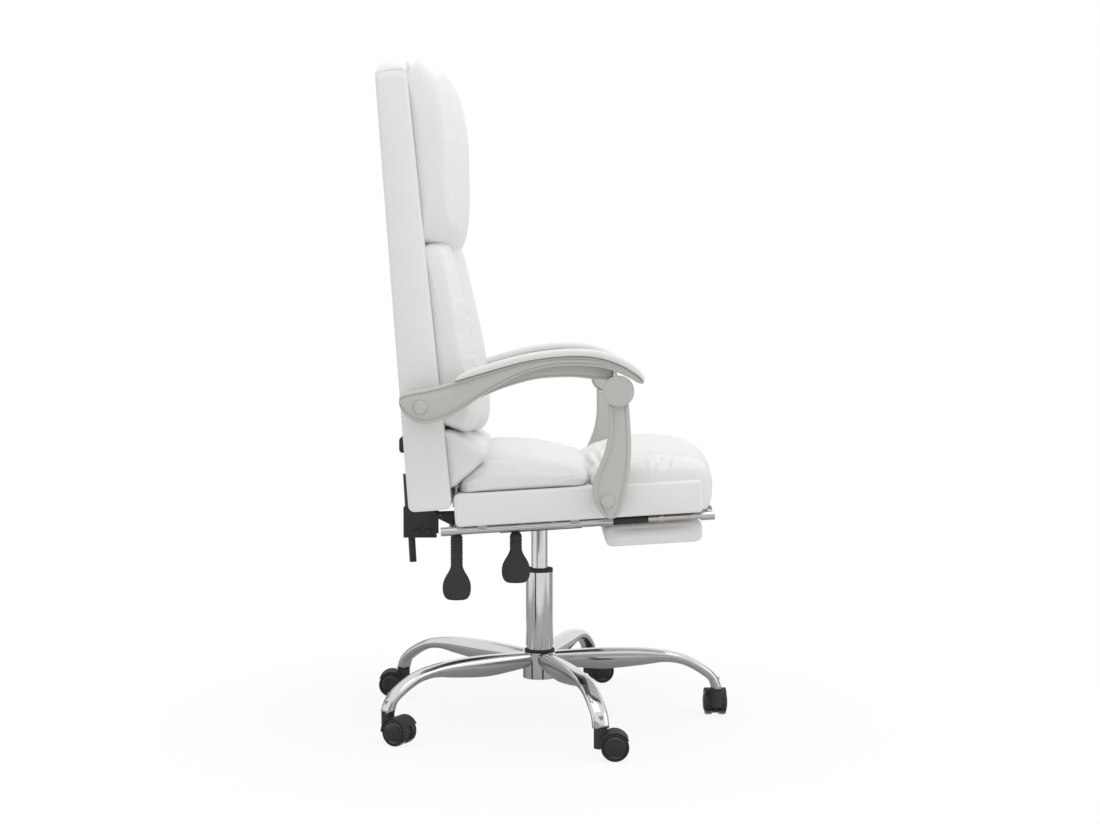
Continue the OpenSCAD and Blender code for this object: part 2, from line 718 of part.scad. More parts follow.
// Back
module back_board_block(d) {
    w = back_w - 50;
    translate([-w / 2 - d, -board_s - back_board_t - d, board_from - d])
        cube([w + 2 * d, back_board_t + 2 * d, back_h - board_from - 60 + 2 * d]);
}
module back_board() {
    color("tan") difference() {
        on_back() back_board_block(0);
        on_back() for (x = [-1, 1], z = plate_bolts) translate([x * plate_bolt_x, 1, z]) rotate([90, 0, 0]) cylinder(h = 60, r = 4 + fit);
    }
}
function back_front(v) = back_t + (back_top_t - back_t) * v / back_h;
module back_frame() {
    top = back_h + back_arch;
    half = back_w / 2;
    edge = curve([[half, back_h - 26], [half - 6, back_h - 2], [half - 40, back_h + back_arch * 0.5],
        [half - 120, back_h + back_arch * 0.85], [0, top]], 6);
    color("white") difference() {
        on_back() intersection() {
            side(0, back_w + 10) polygon([
                [0, 12], [3.5, 3.5], [12, 0], [back_t - 14, 0], [back_t - 4, 4], [back_front(14), 14],
                [back_front(top - 10), top - 10], [back_front(top) - 10, top], [12, top], [0, top - 14]
            ]);
            rotate([90, 0, 0]) linear_extrude(300, center = true) polygon(concat(
                [[-half, 0], [half, 0]], edge, [for (i = [len(edge) - 2:-1:0]) [-edge[i][0], edge[i][1]]]
            ));
        }
        on_back() translate([-notch_w / 2, -back_t - 1, -1]) cube([notch_w, back_t + 2, notch_h + 1]);
        on_back() back_board_block(seat_gap);
        on_back() for (x = [-1, 1], z = plate_bolts) translate([x * plate_bolt_x, 1, z]) rotate([90, 0, 0]) cylinder(h = board_s + 1, r = 4.2);
        each_side() cross_pin(pivot_a, back_w / 2 - 9, 30, arm_pin_d / 2 + fit);
    }
}

// Armrests: the line that carries the pad, from rear to tip
rest_line = [[-143, 640], [-102, 652], [-34, 671], [11, 679], [55, 682], [92, 680], [120, 673], [145, 662], [166, 648], [174, 638]];
band_line = [
    [165, 637], [153, 644], [132, 654], [102, 663], [57, 666], [11, 663], [-34, 650], [-88, 621], [-133, 591],
    [-160, 577], [-186, 569], [-203, 568], [-219, 575], [-231, 590], [-238, 609], [-229, 618], [-193, 627], [-167, 633]
];
web_top = [[-112, 612], [-88, 628], [-34, 657], [11, 670], [57, 672], [102, 669], [122, 662]];
web_foot = [[114, 642], [88, 643], [57, 646], [26, 646], [-4, 644], [-34, 637], [-66, 627], [-100, 612]];
function lean_at(p, i) = let (d = knot(p, i + 1) - knot(p, i - 1)) atan2(d[1], d[0]);
function raised(p, d) = [for (i = [0:len(p) - 1]) p[i] + d * [-sin(lean_at(p, i)), cos(lean_at(p, i))]];
function turned(p) = [for (i = [len(p) - 1:-1:0]) p[i]];

module arm_bar() {
    color("#bdbdb9") difference() {
        union() {
            side(arm_mid, arm_w) polygon(concat(curve(rest_line, 3), curve(band_line, 3)));
            side(arm_in + lug_t / 2, lug_t) polygon(concat(web_top, curve(web_foot, 2)));
            side(arm_in + lug_t / 2, lug_t) union() {
                translate(pivot_b) circle(disc_d / 2 - 3.5);
                polygon([pivot_b + [-20, 8], pivot_b + [20, 8], pivot_b + [18, 26], pivot_b + [-20, 40]]);
            }
        }
        cross_pin(pivot_b, arm_in, 60, arm_pin_d / 2 + 0.4);
        cross_pin(pivot_a, arm_in, 120, arm_pin_d / 2 + fit);
    }
}
module arm_pad() {
    low = raised(curve(rest_line, 3), seat_gap);
    high = raised(curve(rest_line, 3), pad_t);
    n = len(low) - 1;
    color("white") side(arm_mid, pad_w) polygon(concat(
        low, [mid(low[n], high[n], 0.5) + [3, -2]], [high[n]], turned([for (i = [2:n - 1]) high[i]]), [mid(low[0], high[0], 0.5)]
    ));
}
post_line = [
    [150, 603], [153, 560], [154, 520], [150, 474], [141, 439], [132, 417], [120, 408], [108, 413], [94, 434],
    [89, 452], [93, 475], [108, 514], [115, 545], [116, 575], [115, 603]
];
module arm_post() {
    head_in = arm_in + lug_t + run_gap;
    head_w = post_t - lug_t - run_gap;
    color("#bdbdb9") difference() {
        union() {
            side(arm_in + post_t / 2, post_t) polygon(curve(post_line, 3));
            side(head_in + head_w / 2, head_w) translate(pivot_b) circle(disc_d / 2 - 1.5);
            side(head_in + head_w / 2, head_w) polygon([[115, 600], pivot_b + [-22, 0], pivot_b + [22, 0], [150, 600]]);
        }
        cross_pin(pivot_b, arm_in + lug_t / 2 - 2, lug_t + run_gap * 2 + 4, disc_d / 2 - 3);
        cross_pin(pivot_b, arm_in, 80, arm_pin_d / 2 + fit);
        cross_pin(pivot_c, arm_in, 80, arm_pin_d / 2 + fit);
    }
}
module arm_discs() {
    color("#bdbdb9") union() {
        cross_pin(pivot_b, arm_in + post_t + 0.2 + disc_t / 2, disc_t, disc_d / 2);
        cross_pin(pivot_b, arm_in + post_t / 2 + 1, post_t, arm_pin_d / 2);
    }
}

// Footrest
module rail(from_u, to_u, r) {
    translate([rail_span / 2, -from_u, rail_w]) rotate([90, 0, 0]) cylinder(h = to_u - from_u, r = r);
}
module rail_tubes() {
    saddle_w = 16;
    color("silver") on_seat() each_side() difference() {
        union() {
            rail(-rail_rear, rail_front, rail_d / 2);
            rail(-rail_rear, -rail_rear + ferrule_len, rail_d / 2 + 0.7);
            for (u = [-100, 60]) translate([rail_span / 2 - saddle_w / 2, -u - saddle_w / 2, rail_w])
                cube([saddle_w, saddle_w, -rail_w - 0.1]);
        }
        rail(-rail_rear + 3, rail_front + 1, rod_d / 2 + 0.3);
    }
}
module rail_bushes() {
    color("#222222") on_seat() each_side() difference() {
        rail(rail_front + 0.2, rail_front + bush_len, rail_d / 2 - 0.7);
        rail(rail_front - 1, rail_front + bush_len + 1, rod_d / 2 + fit);
    }
}
module slide_rods() {
    ring_len = 7;
    color("silver") on_seat() union() {
        each_side() {
            rail(-rod_rear, hinge_u, rod_d / 2);
            for (u = [206, 262]) rail(u, u + ring_len, rod_d / 2 + 1.6);
            rail(hinge_u + 4 - ferrule_len, hinge_u + 4, ferrule_r);
        }
        translate([-rail_span / 2, -hinge_u, rail_w]) rotate([0, 90, 0]) cylinder(h = rail_span, r = hinge_rod_r);
    }
}
module footrest_hinge() {
    lug_w = 22;
    eye_r = -pad_top + rail_w;
    color("#2b2b2b") on_seat() each_side() translate([footrest_w * 0.32, 0, 0]) difference() {
        union() {
            translate([-lug_w / 2, -hinge_u, rail_w]) rotate([0, 90, 0]) cylinder(h = lug_w, r = eye_r);
            translate([-lug_w / 2, -hinge_u, pad_top]) cube([lug_w, 56, 2.2]);
        }
        translate([-lug_w, -hinge_u, rail_w]) rotate([0, 90, 0]) cylinder(h = 2 * lug_w, r = hinge_rod_r + fit);
    }
}
module footrest_pad() {
    color("white") on_seat() side(0, footrest_w)
        translate([pad_rear, pad_top - seat_gap - footrest_t]) rounded(pad_front - pad_rear, footrest_t, 12);
}

base_hub();
leg(0);  // leg_1
leg(1);  // leg_2
leg(2);  // leg_3
leg(3);  // leg_4
leg(4);  // leg_5
column_tube();
column_bearings();
lift_rod();
caster_housing(0);  // caster_1_housing
caster_housing(1);  // caster_2_housing
caster_housing(2);  // caster_3_housing
caster_housing(3);  // caster_4_housing
caster_housing(4);  // caster_5_housing
caster_pins(0);  // caster_1_pins
caster_pins(1);  // caster_2_pins
caster_pins(2);  // caster_3_pins
caster_pins(3);  // caster_4_pins
caster_pins(4);  // caster_5_pins
caster_wheels(0);  // caster_1_wheels
caster_wheels(1);  // caster_2_wheels
caster_wheels(2);  // caster_3_wheels
caster_wheels(3);  // caster_4_wheels
caster_wheels(4);  // caster_5_wheels
lift_cylinder();
lift_button();
seat_mechanism();
seat_bolts();
height_lever_rod();
height_lever_handle();
recline_lever_rod();
recline_lever_handle();
seat_board();
seat_base();
seat_cushion_rear();
seat_cushion_front();
recline_bracket();
seat_pivot_pins();
gas_spring_cylinder();
gas_spring_rod();
back_bracket();
back_pivot_pins();
back_board();
back_frame();
headrest_cushion();
back_cushion();
lumbar_cushion();
arm_bar();  // arm_bar_left
mirror([1, 0, 0]) arm_bar();  // arm_bar_right
arm_pad();  // arm_pad_left
mirror([1, 0, 0]) arm_pad();  // arm_pad_right
arm_post();  // arm_post_left
mirror([1, 0, 0]) arm_post();  // arm_post_right
arm_discs();  // arm_disc_left
mirror([1, 0, 0]) arm_discs();  // arm_disc_right
rail_tubes();
rail_bushes();
slide_rods();
footrest_hinge();
footrest_pad();
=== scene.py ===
"""Looks of a reclining office chair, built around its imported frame.

Lengths are in millimetres until place() turns them into metres. A side outline is drawn in
two lengths, forward and up, in the seat's, the back's or the chair's own side plane.
"""

import math

import bmesh
import bpy
import numpy as np
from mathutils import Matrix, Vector


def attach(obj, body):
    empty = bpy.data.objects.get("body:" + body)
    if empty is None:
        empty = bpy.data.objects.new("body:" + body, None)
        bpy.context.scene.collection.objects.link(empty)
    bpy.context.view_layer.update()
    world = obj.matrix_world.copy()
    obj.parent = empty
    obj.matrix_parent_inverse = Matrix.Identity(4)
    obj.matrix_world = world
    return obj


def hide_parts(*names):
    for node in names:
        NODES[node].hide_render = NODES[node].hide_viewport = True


bl_info = {
    "name": "Reclining Office Chair",
    "version": (1, 0, 0),
    "blender": (4, 5, 0),
    "location": "3D View > Sidebar > Chair",
    "description": "Builds the covers, armrests, base and finishes of a reclining office chair",
    "category": "Add Mesh",
}

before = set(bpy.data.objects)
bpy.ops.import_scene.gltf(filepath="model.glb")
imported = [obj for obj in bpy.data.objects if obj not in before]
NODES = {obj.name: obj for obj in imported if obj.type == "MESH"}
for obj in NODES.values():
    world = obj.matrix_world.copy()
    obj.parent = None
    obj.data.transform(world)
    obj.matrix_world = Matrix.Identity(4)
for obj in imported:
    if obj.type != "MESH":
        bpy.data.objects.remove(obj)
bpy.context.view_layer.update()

# Side planes: forward and up of the zero point, and how far the plane leans back. FACE is
# the plane of the back's front face.
CHAIR = (0.0, 0.0, 0.0)
SEAT = (0.0, 395.0, math.radians(3.5))
BACK = (-226.0, 412.0, math.radians(4.1))
FACE = (-150.66, 412.0, math.radians(5.7146))
# Pivots of an armrest, forward and up: bar on the back, bar on the post, post on the seat
PIVOT_A = (-201.0, 596.0)
PIVOT_B = (132.0, 623.0)
PIVOT_C = (114.0, 436.0)
ARM_IN = 262.0  # inner face of bar and post
ARM_MID = 282.0  # middle of the bar's width
POST_FACE, BAR_FACE = 292.1, 302.1  # where covers and caps stand on post and bar
LEG_REACH = 330.0  # from the column's axis to a caster's stem
WHEEL_R = 24.0
TRAIL = 24.0  # from a caster's stem to its axle
LEVER_X = -205.0  # middle of the lever grips
SEAL_R, SEAL_HIGH, SEAL_THICK = 26, 128.4, 2.2  # ring at the column's foot
HALF_WIDTH = 245  # of the seat base and of the back shell

# Points of a cushion: along the top of its outline, along its foot, and sections between
# its seams and in the dome beyond each seam
TOP_POINTS = 96
FOOT_POINTS = 16
LOBE_SECTIONS = 127
DOME_SECTIONS = 8
STITCH = 0.012  # reach of a stitching line, as a share of the half width
FINE_CREASE, BROAD_CREASE, GATHER_CREASE = 33.0, 170.0, 17.0  # lengths of the creases
CORNER_POINTS = 6  # points of a rounded corner


# ---------------------------------------------------------------- shapes


def place(x, along, up, plane=CHAIR):
    """Metres in the chair's frame: forward = f0 + along cos(lean) - up sin(lean),
    height = h0 + along sin(lean) + up cos(lean); the chair faces -Y."""
    f0, h0, lean = plane
    forward = f0 + along * math.cos(lean) - up * math.sin(lean)
    height = h0 + along * math.sin(lean) + up * math.cos(lean)
    return np.stack(np.broadcast_arrays(x, -forward, height), -1) / 1000.0


def smooth_line(points, count):
    """count points spread evenly by length on the curve
    p(t) = b + (c-a)t/2 + (2a-5b+4c-d)t²/2 + (3b-a-3c+d)t³/2 through each b, c."""
    p = np.asarray(points, float)
    ring = np.concatenate([p[:1], p, p[-1:]])
    a, b, c, d = ring[:-3], ring[1:-2], ring[2:-1], ring[3:]
    t = np.linspace(0, 1, 33)[:-1, None, None]
    bend, twist = 2 * a - 5 * b + 4 * c - d, 3 * b - a - 3 * c + d
    q = 0.5 * (2 * b + (c - a) * t + bend * t**2 + twist * t**3)
    q = q.transpose(1, 0, 2).reshape(-1, p.shape[1])
    q = np.concatenate([q, c[-1:]])
    run = np.concatenate([[0], np.cumsum(np.linalg.norm(np.diff(q, axis=0), axis=1))])
    want = np.linspace(0, run[-1], count)
    return np.stack([np.interp(want, run, q[:, k]) for k in range(p.shape[1])], 1)


def into_scene(name, data):
    """New object at the origin that holds the data."""
    obj = bpy.data.objects.new(name, data)
    bpy.context.scene.collection.objects.link(obj)
    return obj


def object_from(name, verts, faces):
    """Object at the origin with its doubles merged, its faces outwards and shaded smooth."""
    mesh = bpy.data.meshes.new(name)
    points = np.asarray(verts, float).reshape(-1, 3)
    mesh.from_pydata(points.tolist(), [], [list(map(int, f)) for f in faces])
    work = bmesh.new()
    work.from_mesh(mesh)
    bmesh.ops.remove_doubles(work, verts=work.verts, dist=1e-6)
    bmesh.ops.dissolve_degenerate(work, edges=work.edges, dist=1e-7)
    bmesh.ops.recalc_face_normals(work, faces=work.faces)
    work.to_mesh(mesh)
    work.free()
    mesh.polygons.foreach_set("use_smooth", np.ones(len(mesh.polygons), bool))
    return into_scene(name, mesh)


def quads(m, n):
    """Faces between m rings of n points: corner j of ring i is number i n + j."""
    i, j = np.meshgrid(np.arange(m - 1), np.arange(n), indexing="ij")
    k = (j + 1) % n
    return np.stack([i * n + j, i * n + k, (i + 1) * n + k, (i + 1) * n + j], -1).reshape(-1, 4)


def skin(name, rings, mirror=None):
    """Closed tube through rings[i, j]. Each end closes on its middle point, or as a strip
    between the points j and mirror - j of its ring."""
    rings = np.asarray(rings, float)
    m, n = rings.shape[:2]
    faces = quads(m, n).tolist()
    if mirror is not None:
        j = (mirror + 1) // 2 + np.arange(n // 2 - 1)
        strip = np.stack([j, j + 1, mirror - j - 1, mirror - j], 1) % n
        return object_from(name, rings, faces + strip.tolist() + (strip + (m - 1) * n).tolist())
    verts = np.concatenate([rings.reshape(-1, 3), rings[[0, -1]].mean(1)])
    j, last = np.arange(n), (m - 1) * n
    after = (j + 1) % n
    faces += np.stack([np.full(n, m * n), after, j], 1).tolist()
    faces += np.stack([np.full(n, m * n + 1), last + j, last + after], 1).tolist()
    return object_from(name, verts, faces)


def turned(name, profile, centre, axis, steps=64):
    """Lathe form: profile[i] = (radius, length along the axis); the point at angle t is
    centre + length axis + radius (cos t e1 + sin t e2)."""
    axis = np.asarray(axis, float) / np.linalg.norm(axis)
    helper = np.array([0.0, 0.0, 1.0]) if abs(axis[2]) < 0.9 else np.array([1.0, 0.0, 0.0])
    e1 = np.cross(axis, helper)
    e1 /= np.linalg.norm(e1)
    e2 = np.cross(axis, e1)
    t = np.linspace(0, 2 * np.pi, steps, endpoint=False)
    p = np.asarray(profile, float)
    round_ = np.cos(t)[None, :, None] * e1 + np.sin(t)[None, :, None] * e2
    rings = np.asarray(centre, float) + p[:, 1, None, None] * axis + p[:, 0, None, None] * round_
    return skin(name, rings / 1000.0)


def rounded_profile(radius, length, edge, steps=5):
    """Half section of a disc with rounded rims, from its foot to its top."""
    a = np.linspace(0, np.pi / 2, steps)
    foot = np.stack([radius - edge + edge * np.sin(a), edge - edge * np.cos(a)], 1)
    top = np.stack([radius - edge + edge * np.cos(a), length - edge + edge * np.sin(a)], 1)
    return np.concatenate([[[0.01, 0]], foot, top, [[0.01, length]]])


def tube(name, points, radius, sides=12, closed=False):
    """Tube round a line of points in metres: at each point a circle in the plane across
    the line, its first axis carried along from ring to ring."""
    p = np.asarray(points, float)
    if closed:
        ahead = np.roll(p, -1, 0) - np.roll(p, 1, 0)
    else:
        ahead = np.gradient(p, axis=0)
    ahead /= np.linalg.norm(ahead, axis=1)[:, None]
    e1 = np.empty_like(p)
    side = np.cross(ahead[0], [0.31, 0.77, 0.55])
    for i, d in enumerate(ahead):
        side = side - d * side.dot(d)
        side /= np.linalg.norm(side)
        e1[i] = side
    e2 = np.cross(ahead, e1)
    t = np.linspace(0, 2 * np.pi, sides, endpoint=False)[None, :, None]
    rings = p[:, None] + radius / 1000.0 * (np.cos(t) * e1[:, None] + np.sin(t) * e2[:, None])
    if closed:
        return object_from(name, rings, quads(len(p) + 1, sides) % (len(p) * sides))
    return skin(name, rings)


def blade(name, line_a, line_b, x_mid, width, edge, rim=0.0, recess=0.0, faces_out=0):
    """Solid between two lines of a side outline. At station i the section is a rounded
    rectangle of half height h = |a - b| / 2 and half width width / 2; inside its rim the
    face on the side faces_out (0: both) has a groove of depth recess and a panel 0.4 of it
    deep."""
    a, b = np.asarray(line_a, float), np.asarray(line_b, float)
    mid, half = (a + b) / 2, (a - b) / 2
    h = np.maximum(np.linalg.norm(half, axis=1), 1e-3)
    unit = half / h[:, None]
    r = np.minimum(edge, h * 0.85)
    flat = np.minimum(rim, h * 0.55)
    depth = recess * np.clip((h - rim - 1.5) / 4.0, 0, 1)
    w = width / 2
    arc = np.linspace(0, np.pi / 2, 5)
    ys, xs = [], []

    def face(sign, order):
        g = h - flat
        steps = [(h - r, 0), (g, 0), (g - np.minimum(0.7, 0.12 * g), 1)]
        steps += [(g - np.minimum(2.0, 0.3 * g), 1)]
        steps += [(g - np.minimum(3.0, 0.42 * g), 0.4), (g * 0.3, 0.4)]
        rows = [(np.clip(y, 0.0, h - r), d) for y, d in steps]
        rows = rows + [(-y, d) for y, d in rows[::-1]]
        rows = rows if order > 0 else [(-y, d) for y, d in rows]
        keep = 1.0 if faces_out in (0, sign) else 0.0
        for y, d in rows:
            ys.append(y)
            xs.append(sign * (w - keep * depth * d))

    def corner(sign_y, sign_x, order):
        for k in arc[1:-1] if order > 0 else arc[1:-1][::-1]:
            ys.append(sign_y * (h - r + r * np.sin(k)))
            xs.append(sign_x * (w - r + r * np.cos(k)))

    face(1, -1)
    corner(1, 1, 1)
    ys.append(h)
    xs.append(w - r)
    ys.append(h)
    xs.append(-(w - r))
    corner(1, -1, -1)
    face(-1, 1)
    corner(-1, -1, 1)
    ys.append(-h)
    xs.append(-(w - r))
    ys.append(-h)
    xs.append(w - r)
    corner(-1, 1, -1)
    y = np.stack([np.broadcast_to(v, h.shape) for v in ys], 1)
    x = np.stack([np.broadcast_to(v, h.shape) for v in xs], 1)
    at = mid[:, None] + unit[:, None] * y[:, :, None]
    return skin(name, place(x_mid + x, at[..., 0], at[..., 1]))


def rounded_outline(a0, a1, b0, b1, r, per_side=14):
    """Rounded rectangle as one closed line of points."""
    t = np.linspace(0, np.pi / 2, CORNER_POINTS)
    corners = []
    centres = [(a1 - r, b1 - r), (a0 + r, b1 - r), (a0 + r, b0 + r), (a1 - r, b0 + r)]
    for k, (ca, cb) in enumerate(centres):
        ang = t + k * np.pi / 2
        corners.append(np.stack([ca + r * np.cos(ang), cb + r * np.sin(ang)], 1))
    out = []
    for k in range(4):
        p, q = corners[k], corners[(k + 1) % 4]
        s = np.linspace(0, 1, per_side + 2)[1:-1, None]
        out += [p, p[-1] + (q[0] - p[-1]) * s]
    return np.concatenate(out)


def waves(x, y, seed, scale, terms=7):
    """Smooth uneven height: the mean of sines of random direction, length and phase."""
    rng = np.random.default_rng(seed)
    total = np.zeros(np.broadcast(x, y).shape)
    for _ in range(terms):
        angle = rng.uniform(0, 2 * np.pi)
        length = scale * rng.uniform(0.6, 1.7)
        phase = rng.uniform(0, 2 * np.pi)
        total += np.sin(2 * np.pi * (x * math.cos(angle) + y * math.sin(angle)) / length + phase)
    return total / terms


def step(lo, hi, v):
    """Smooth step from 0 at lo to 1 at hi: 3s² - 2s³."""
    s = np.clip((v - lo) / (hi - lo), 0, 1)
    return s * s * (3 - 2 * s)


# ---------------------------------------------------------------- finishes


def add_node(tree, kind, values=None, **settings):
    """New node with its settings and the values of its sockets."""
    node = tree.nodes.new(kind)
    for key, value in settings.items():
        setattr(node, key, value)
    for key, value in (values or {}).items():
        node.inputs[key].default_value = value
    return node


def link(tree, source, output, target, socket):
    """Link from a node's output to another node's input, by name or number."""
    tree.links.new(source.outputs[output], target.inputs[socket])


def new_group(name, inputs, outputs):
    """Node group of plain numbers: inputs as (name, value), outputs by name."""
    tree = bpy.data.node_groups.new(name, "ShaderNodeTree")
    for label, value in inputs:
        socket = tree.interface.new_socket(label, in_out="INPUT", socket_type="NodeSocketFloat")
        socket.default_value = value
    for label in outputs:
        tree.interface.new_socket(label, in_out="OUTPUT", socket_type="NodeSocketFloat")
    return tree, tree.nodes.new("NodeGroupInput"), tree.nodes.new("NodeGroupOutput")


def grain_group():
    """Height = cells times 0.7 plus fine noise times 0.3; Tone is a broad soft noise."""
    if "surface_grain" in bpy.data.node_groups:
        return bpy.data.node_groups["surface_grain"]
    inputs = [("Scale", 900.0), ("Spread", 9.0)]
    tree, given, out = new_group("surface_grain", inputs, ["Height", "Tone"])
    where = add_node(tree, "ShaderNodeTexCoord")
    cells = add_node(tree, "ShaderNodeTexVoronoi", {"Randomness": 1.0}, feature="SMOOTH_F1")
    fine = add_node(tree, "ShaderNodeTexNoise", {"Detail": 3.0, "Roughness": 0.6})
    broad = add_node(tree, "ShaderNodeTexNoise", {"Detail": 2.0, "Roughness": 0.5})
    part = add_node(tree, "ShaderNodeMath", {1: 0.7}, operation="MULTIPLY")
    both = add_node(tree, "ShaderNodeMath", {1: 0.3}, operation="MULTIPLY_ADD")
    for texture in (cells, fine, broad):
        link(tree, where, "Object", texture, "Vector")
    link(tree, given, "Scale", cells, "Scale")
    link(tree, given, "Scale", fine, "Scale")
    link(tree, given, "Spread", broad, "Scale")
    link(tree, cells, "Distance", part, 0)
    link(tree, fine, "Fac", both, 0)
    link(tree, part, 0, both, 2)
    link(tree, both, 0, out, "Height")
    link(tree, broad, "Fac", out, "Tone")
    return tree


def finish_of(name, colour, rough, metallic=0.0, grain=900.0, depth=0.0002, mottling=0.05,
              rough_spread=0.08, spread=9.0, specular=0.5):
    """Principled surface whose colour and roughness drift with the grain's Tone and whose
    relief is the grain's Height."""
    if name in bpy.data.materials:
        return bpy.data.materials[name]
    material = bpy.data.materials.new(name)
    material.use_nodes = True
    tree = material.node_tree
    tree.nodes.clear()
    out = add_node(tree, "ShaderNodeOutputMaterial")
    body = add_node(tree, "ShaderNodeBsdfPrincipled", {
        "Metallic": metallic, "Specular IOR Level": specular,
    })
    grain_of = add_node(tree, "ShaderNodeGroup", node_tree=grain_group())
    grain_of.inputs["Scale"].default_value = grain
    grain_of.inputs["Spread"].default_value = spread
    shade = add_node(tree, "ShaderNodeMix", data_type="RGBA")
    shade.inputs["A"].default_value = (*colour, 1)
    shade.inputs["B"].default_value = (*[c * (1 - mottling) for c in colour], 1)
    drift = add_node(tree, "ShaderNodeMapRange", {
        "From Min": 0.3, "From Max": 0.7, "To Min": rough, "To Max": rough + rough_spread,
    })
    relief = add_node(tree, "ShaderNodeBump", {"Strength": 0.5, "Distance": depth})
    link(tree, grain_of, "Tone", shade, "Factor")
    link(tree, grain_of, "Tone", drift, "Value")
    link(tree, grain_of, "Height", relief, "Height")
    link(tree, shade, "Result", body, "Base Color")
    link(tree, drift, "Result", body, "Roughness")
    link(tree, relief, "Normal", body, "Normal")
    link(tree, body, "BSDF", out, "Surface")
    return material


def cover_finish():
    tone = bpy.context.scene.chair_cover.colour
    return finish_of(
        "white_faux_leather", tone, 0.42, grain=620.0, depth=0.00022, mottling=0.035, spread=6.0,
        specular=0.42,
    )


def welt_finish():
    tone = bpy.context.scene.chair_cover.colour
    return finish_of(
        "white_welt", tone, 0.36, grain=800.0, depth=0.00012, mottling=0.02, specular=0.45,
    )


def pad_finish():
    return finish_of(
        "white_arm_pad", (0.80, 0.80, 0.785), 0.5, grain=1400.0, depth=0.0001, mottling=0.03,
        specular=0.4,
    )


def arm_finish():
    tone = bpy.context.scene.chair_trim.arm_colour
    return finish_of(
        "warm_grey_plastic", tone, 0.48, grain=1500.0, depth=0.0001, mottling=0.04, specular=0.42,
    )


def chrome_finish():
    tone = bpy.context.scene.chair_trim.chrome_colour
    return finish_of(
        "polished_chrome", tone, 0.07, metallic=1.0, grain=60.0, depth=0.00001, mottling=0.03,
        rough_spread=0.07, spread=14.0,
    )


def steel_finish():
    return finish_of(
        "zinc_plate", (0.50, 0.50, 0.51), 0.3, metallic=1.0, grain=500.0, depth=0.00003,
        mottling=0.12, rough_spread=0.12,
    )


def black_plastic_finish():
    return finish_of(
        "black_plastic", (0.028, 0.028, 0.03), 0.42, grain=1300.0, depth=0.00012, mottling=0.3,
        specular=0.45,
    )


def black_paint_finish():
    return finish_of(
        "black_powder_coat", (0.037, 0.037, 0.039), 0.5, grain=1700.0, depth=0.00012, mottling=0.25,
        specular=0.4,
    )


def tyre_finish():
    return finish_of(
        "caster_nylon", (0.025, 0.025, 0.027), 0.22, grain=700.0, depth=0.00004, mottling=0.3,
        specular=0.55,
    )


def board_finish():
    return finish_of(
        "raw_plywood", (0.40, 0.32, 0.23), 0.75, grain=90.0, depth=0.0003, mottling=0.25,
        spread=30.0,
    )


def dress(obj, finish, body, slot, *replaced):
    """Finish, body and replaced nodes of a built piece. The slot is not used."""
    obj.data.materials.clear()
    obj.data.materials.append(finish)
    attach(obj, body)
    if replaced:
        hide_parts(*replaced)


def paint_node(name, finish):
    """Finish for a solid that keeps its own shape."""
    mesh = NODES[name].data
    mesh.materials.clear()
    mesh.materials.append(finish)
    mesh.polygons.foreach_set("use_smooth", np.ones(len(mesh.polygons), bool))
    soften = NODES[name].modifiers.new("smooth_by_angle", "EDGE_SPLIT")
    soften.split_angle = math.radians(32)


# ---------------------------------------------------------------- padding


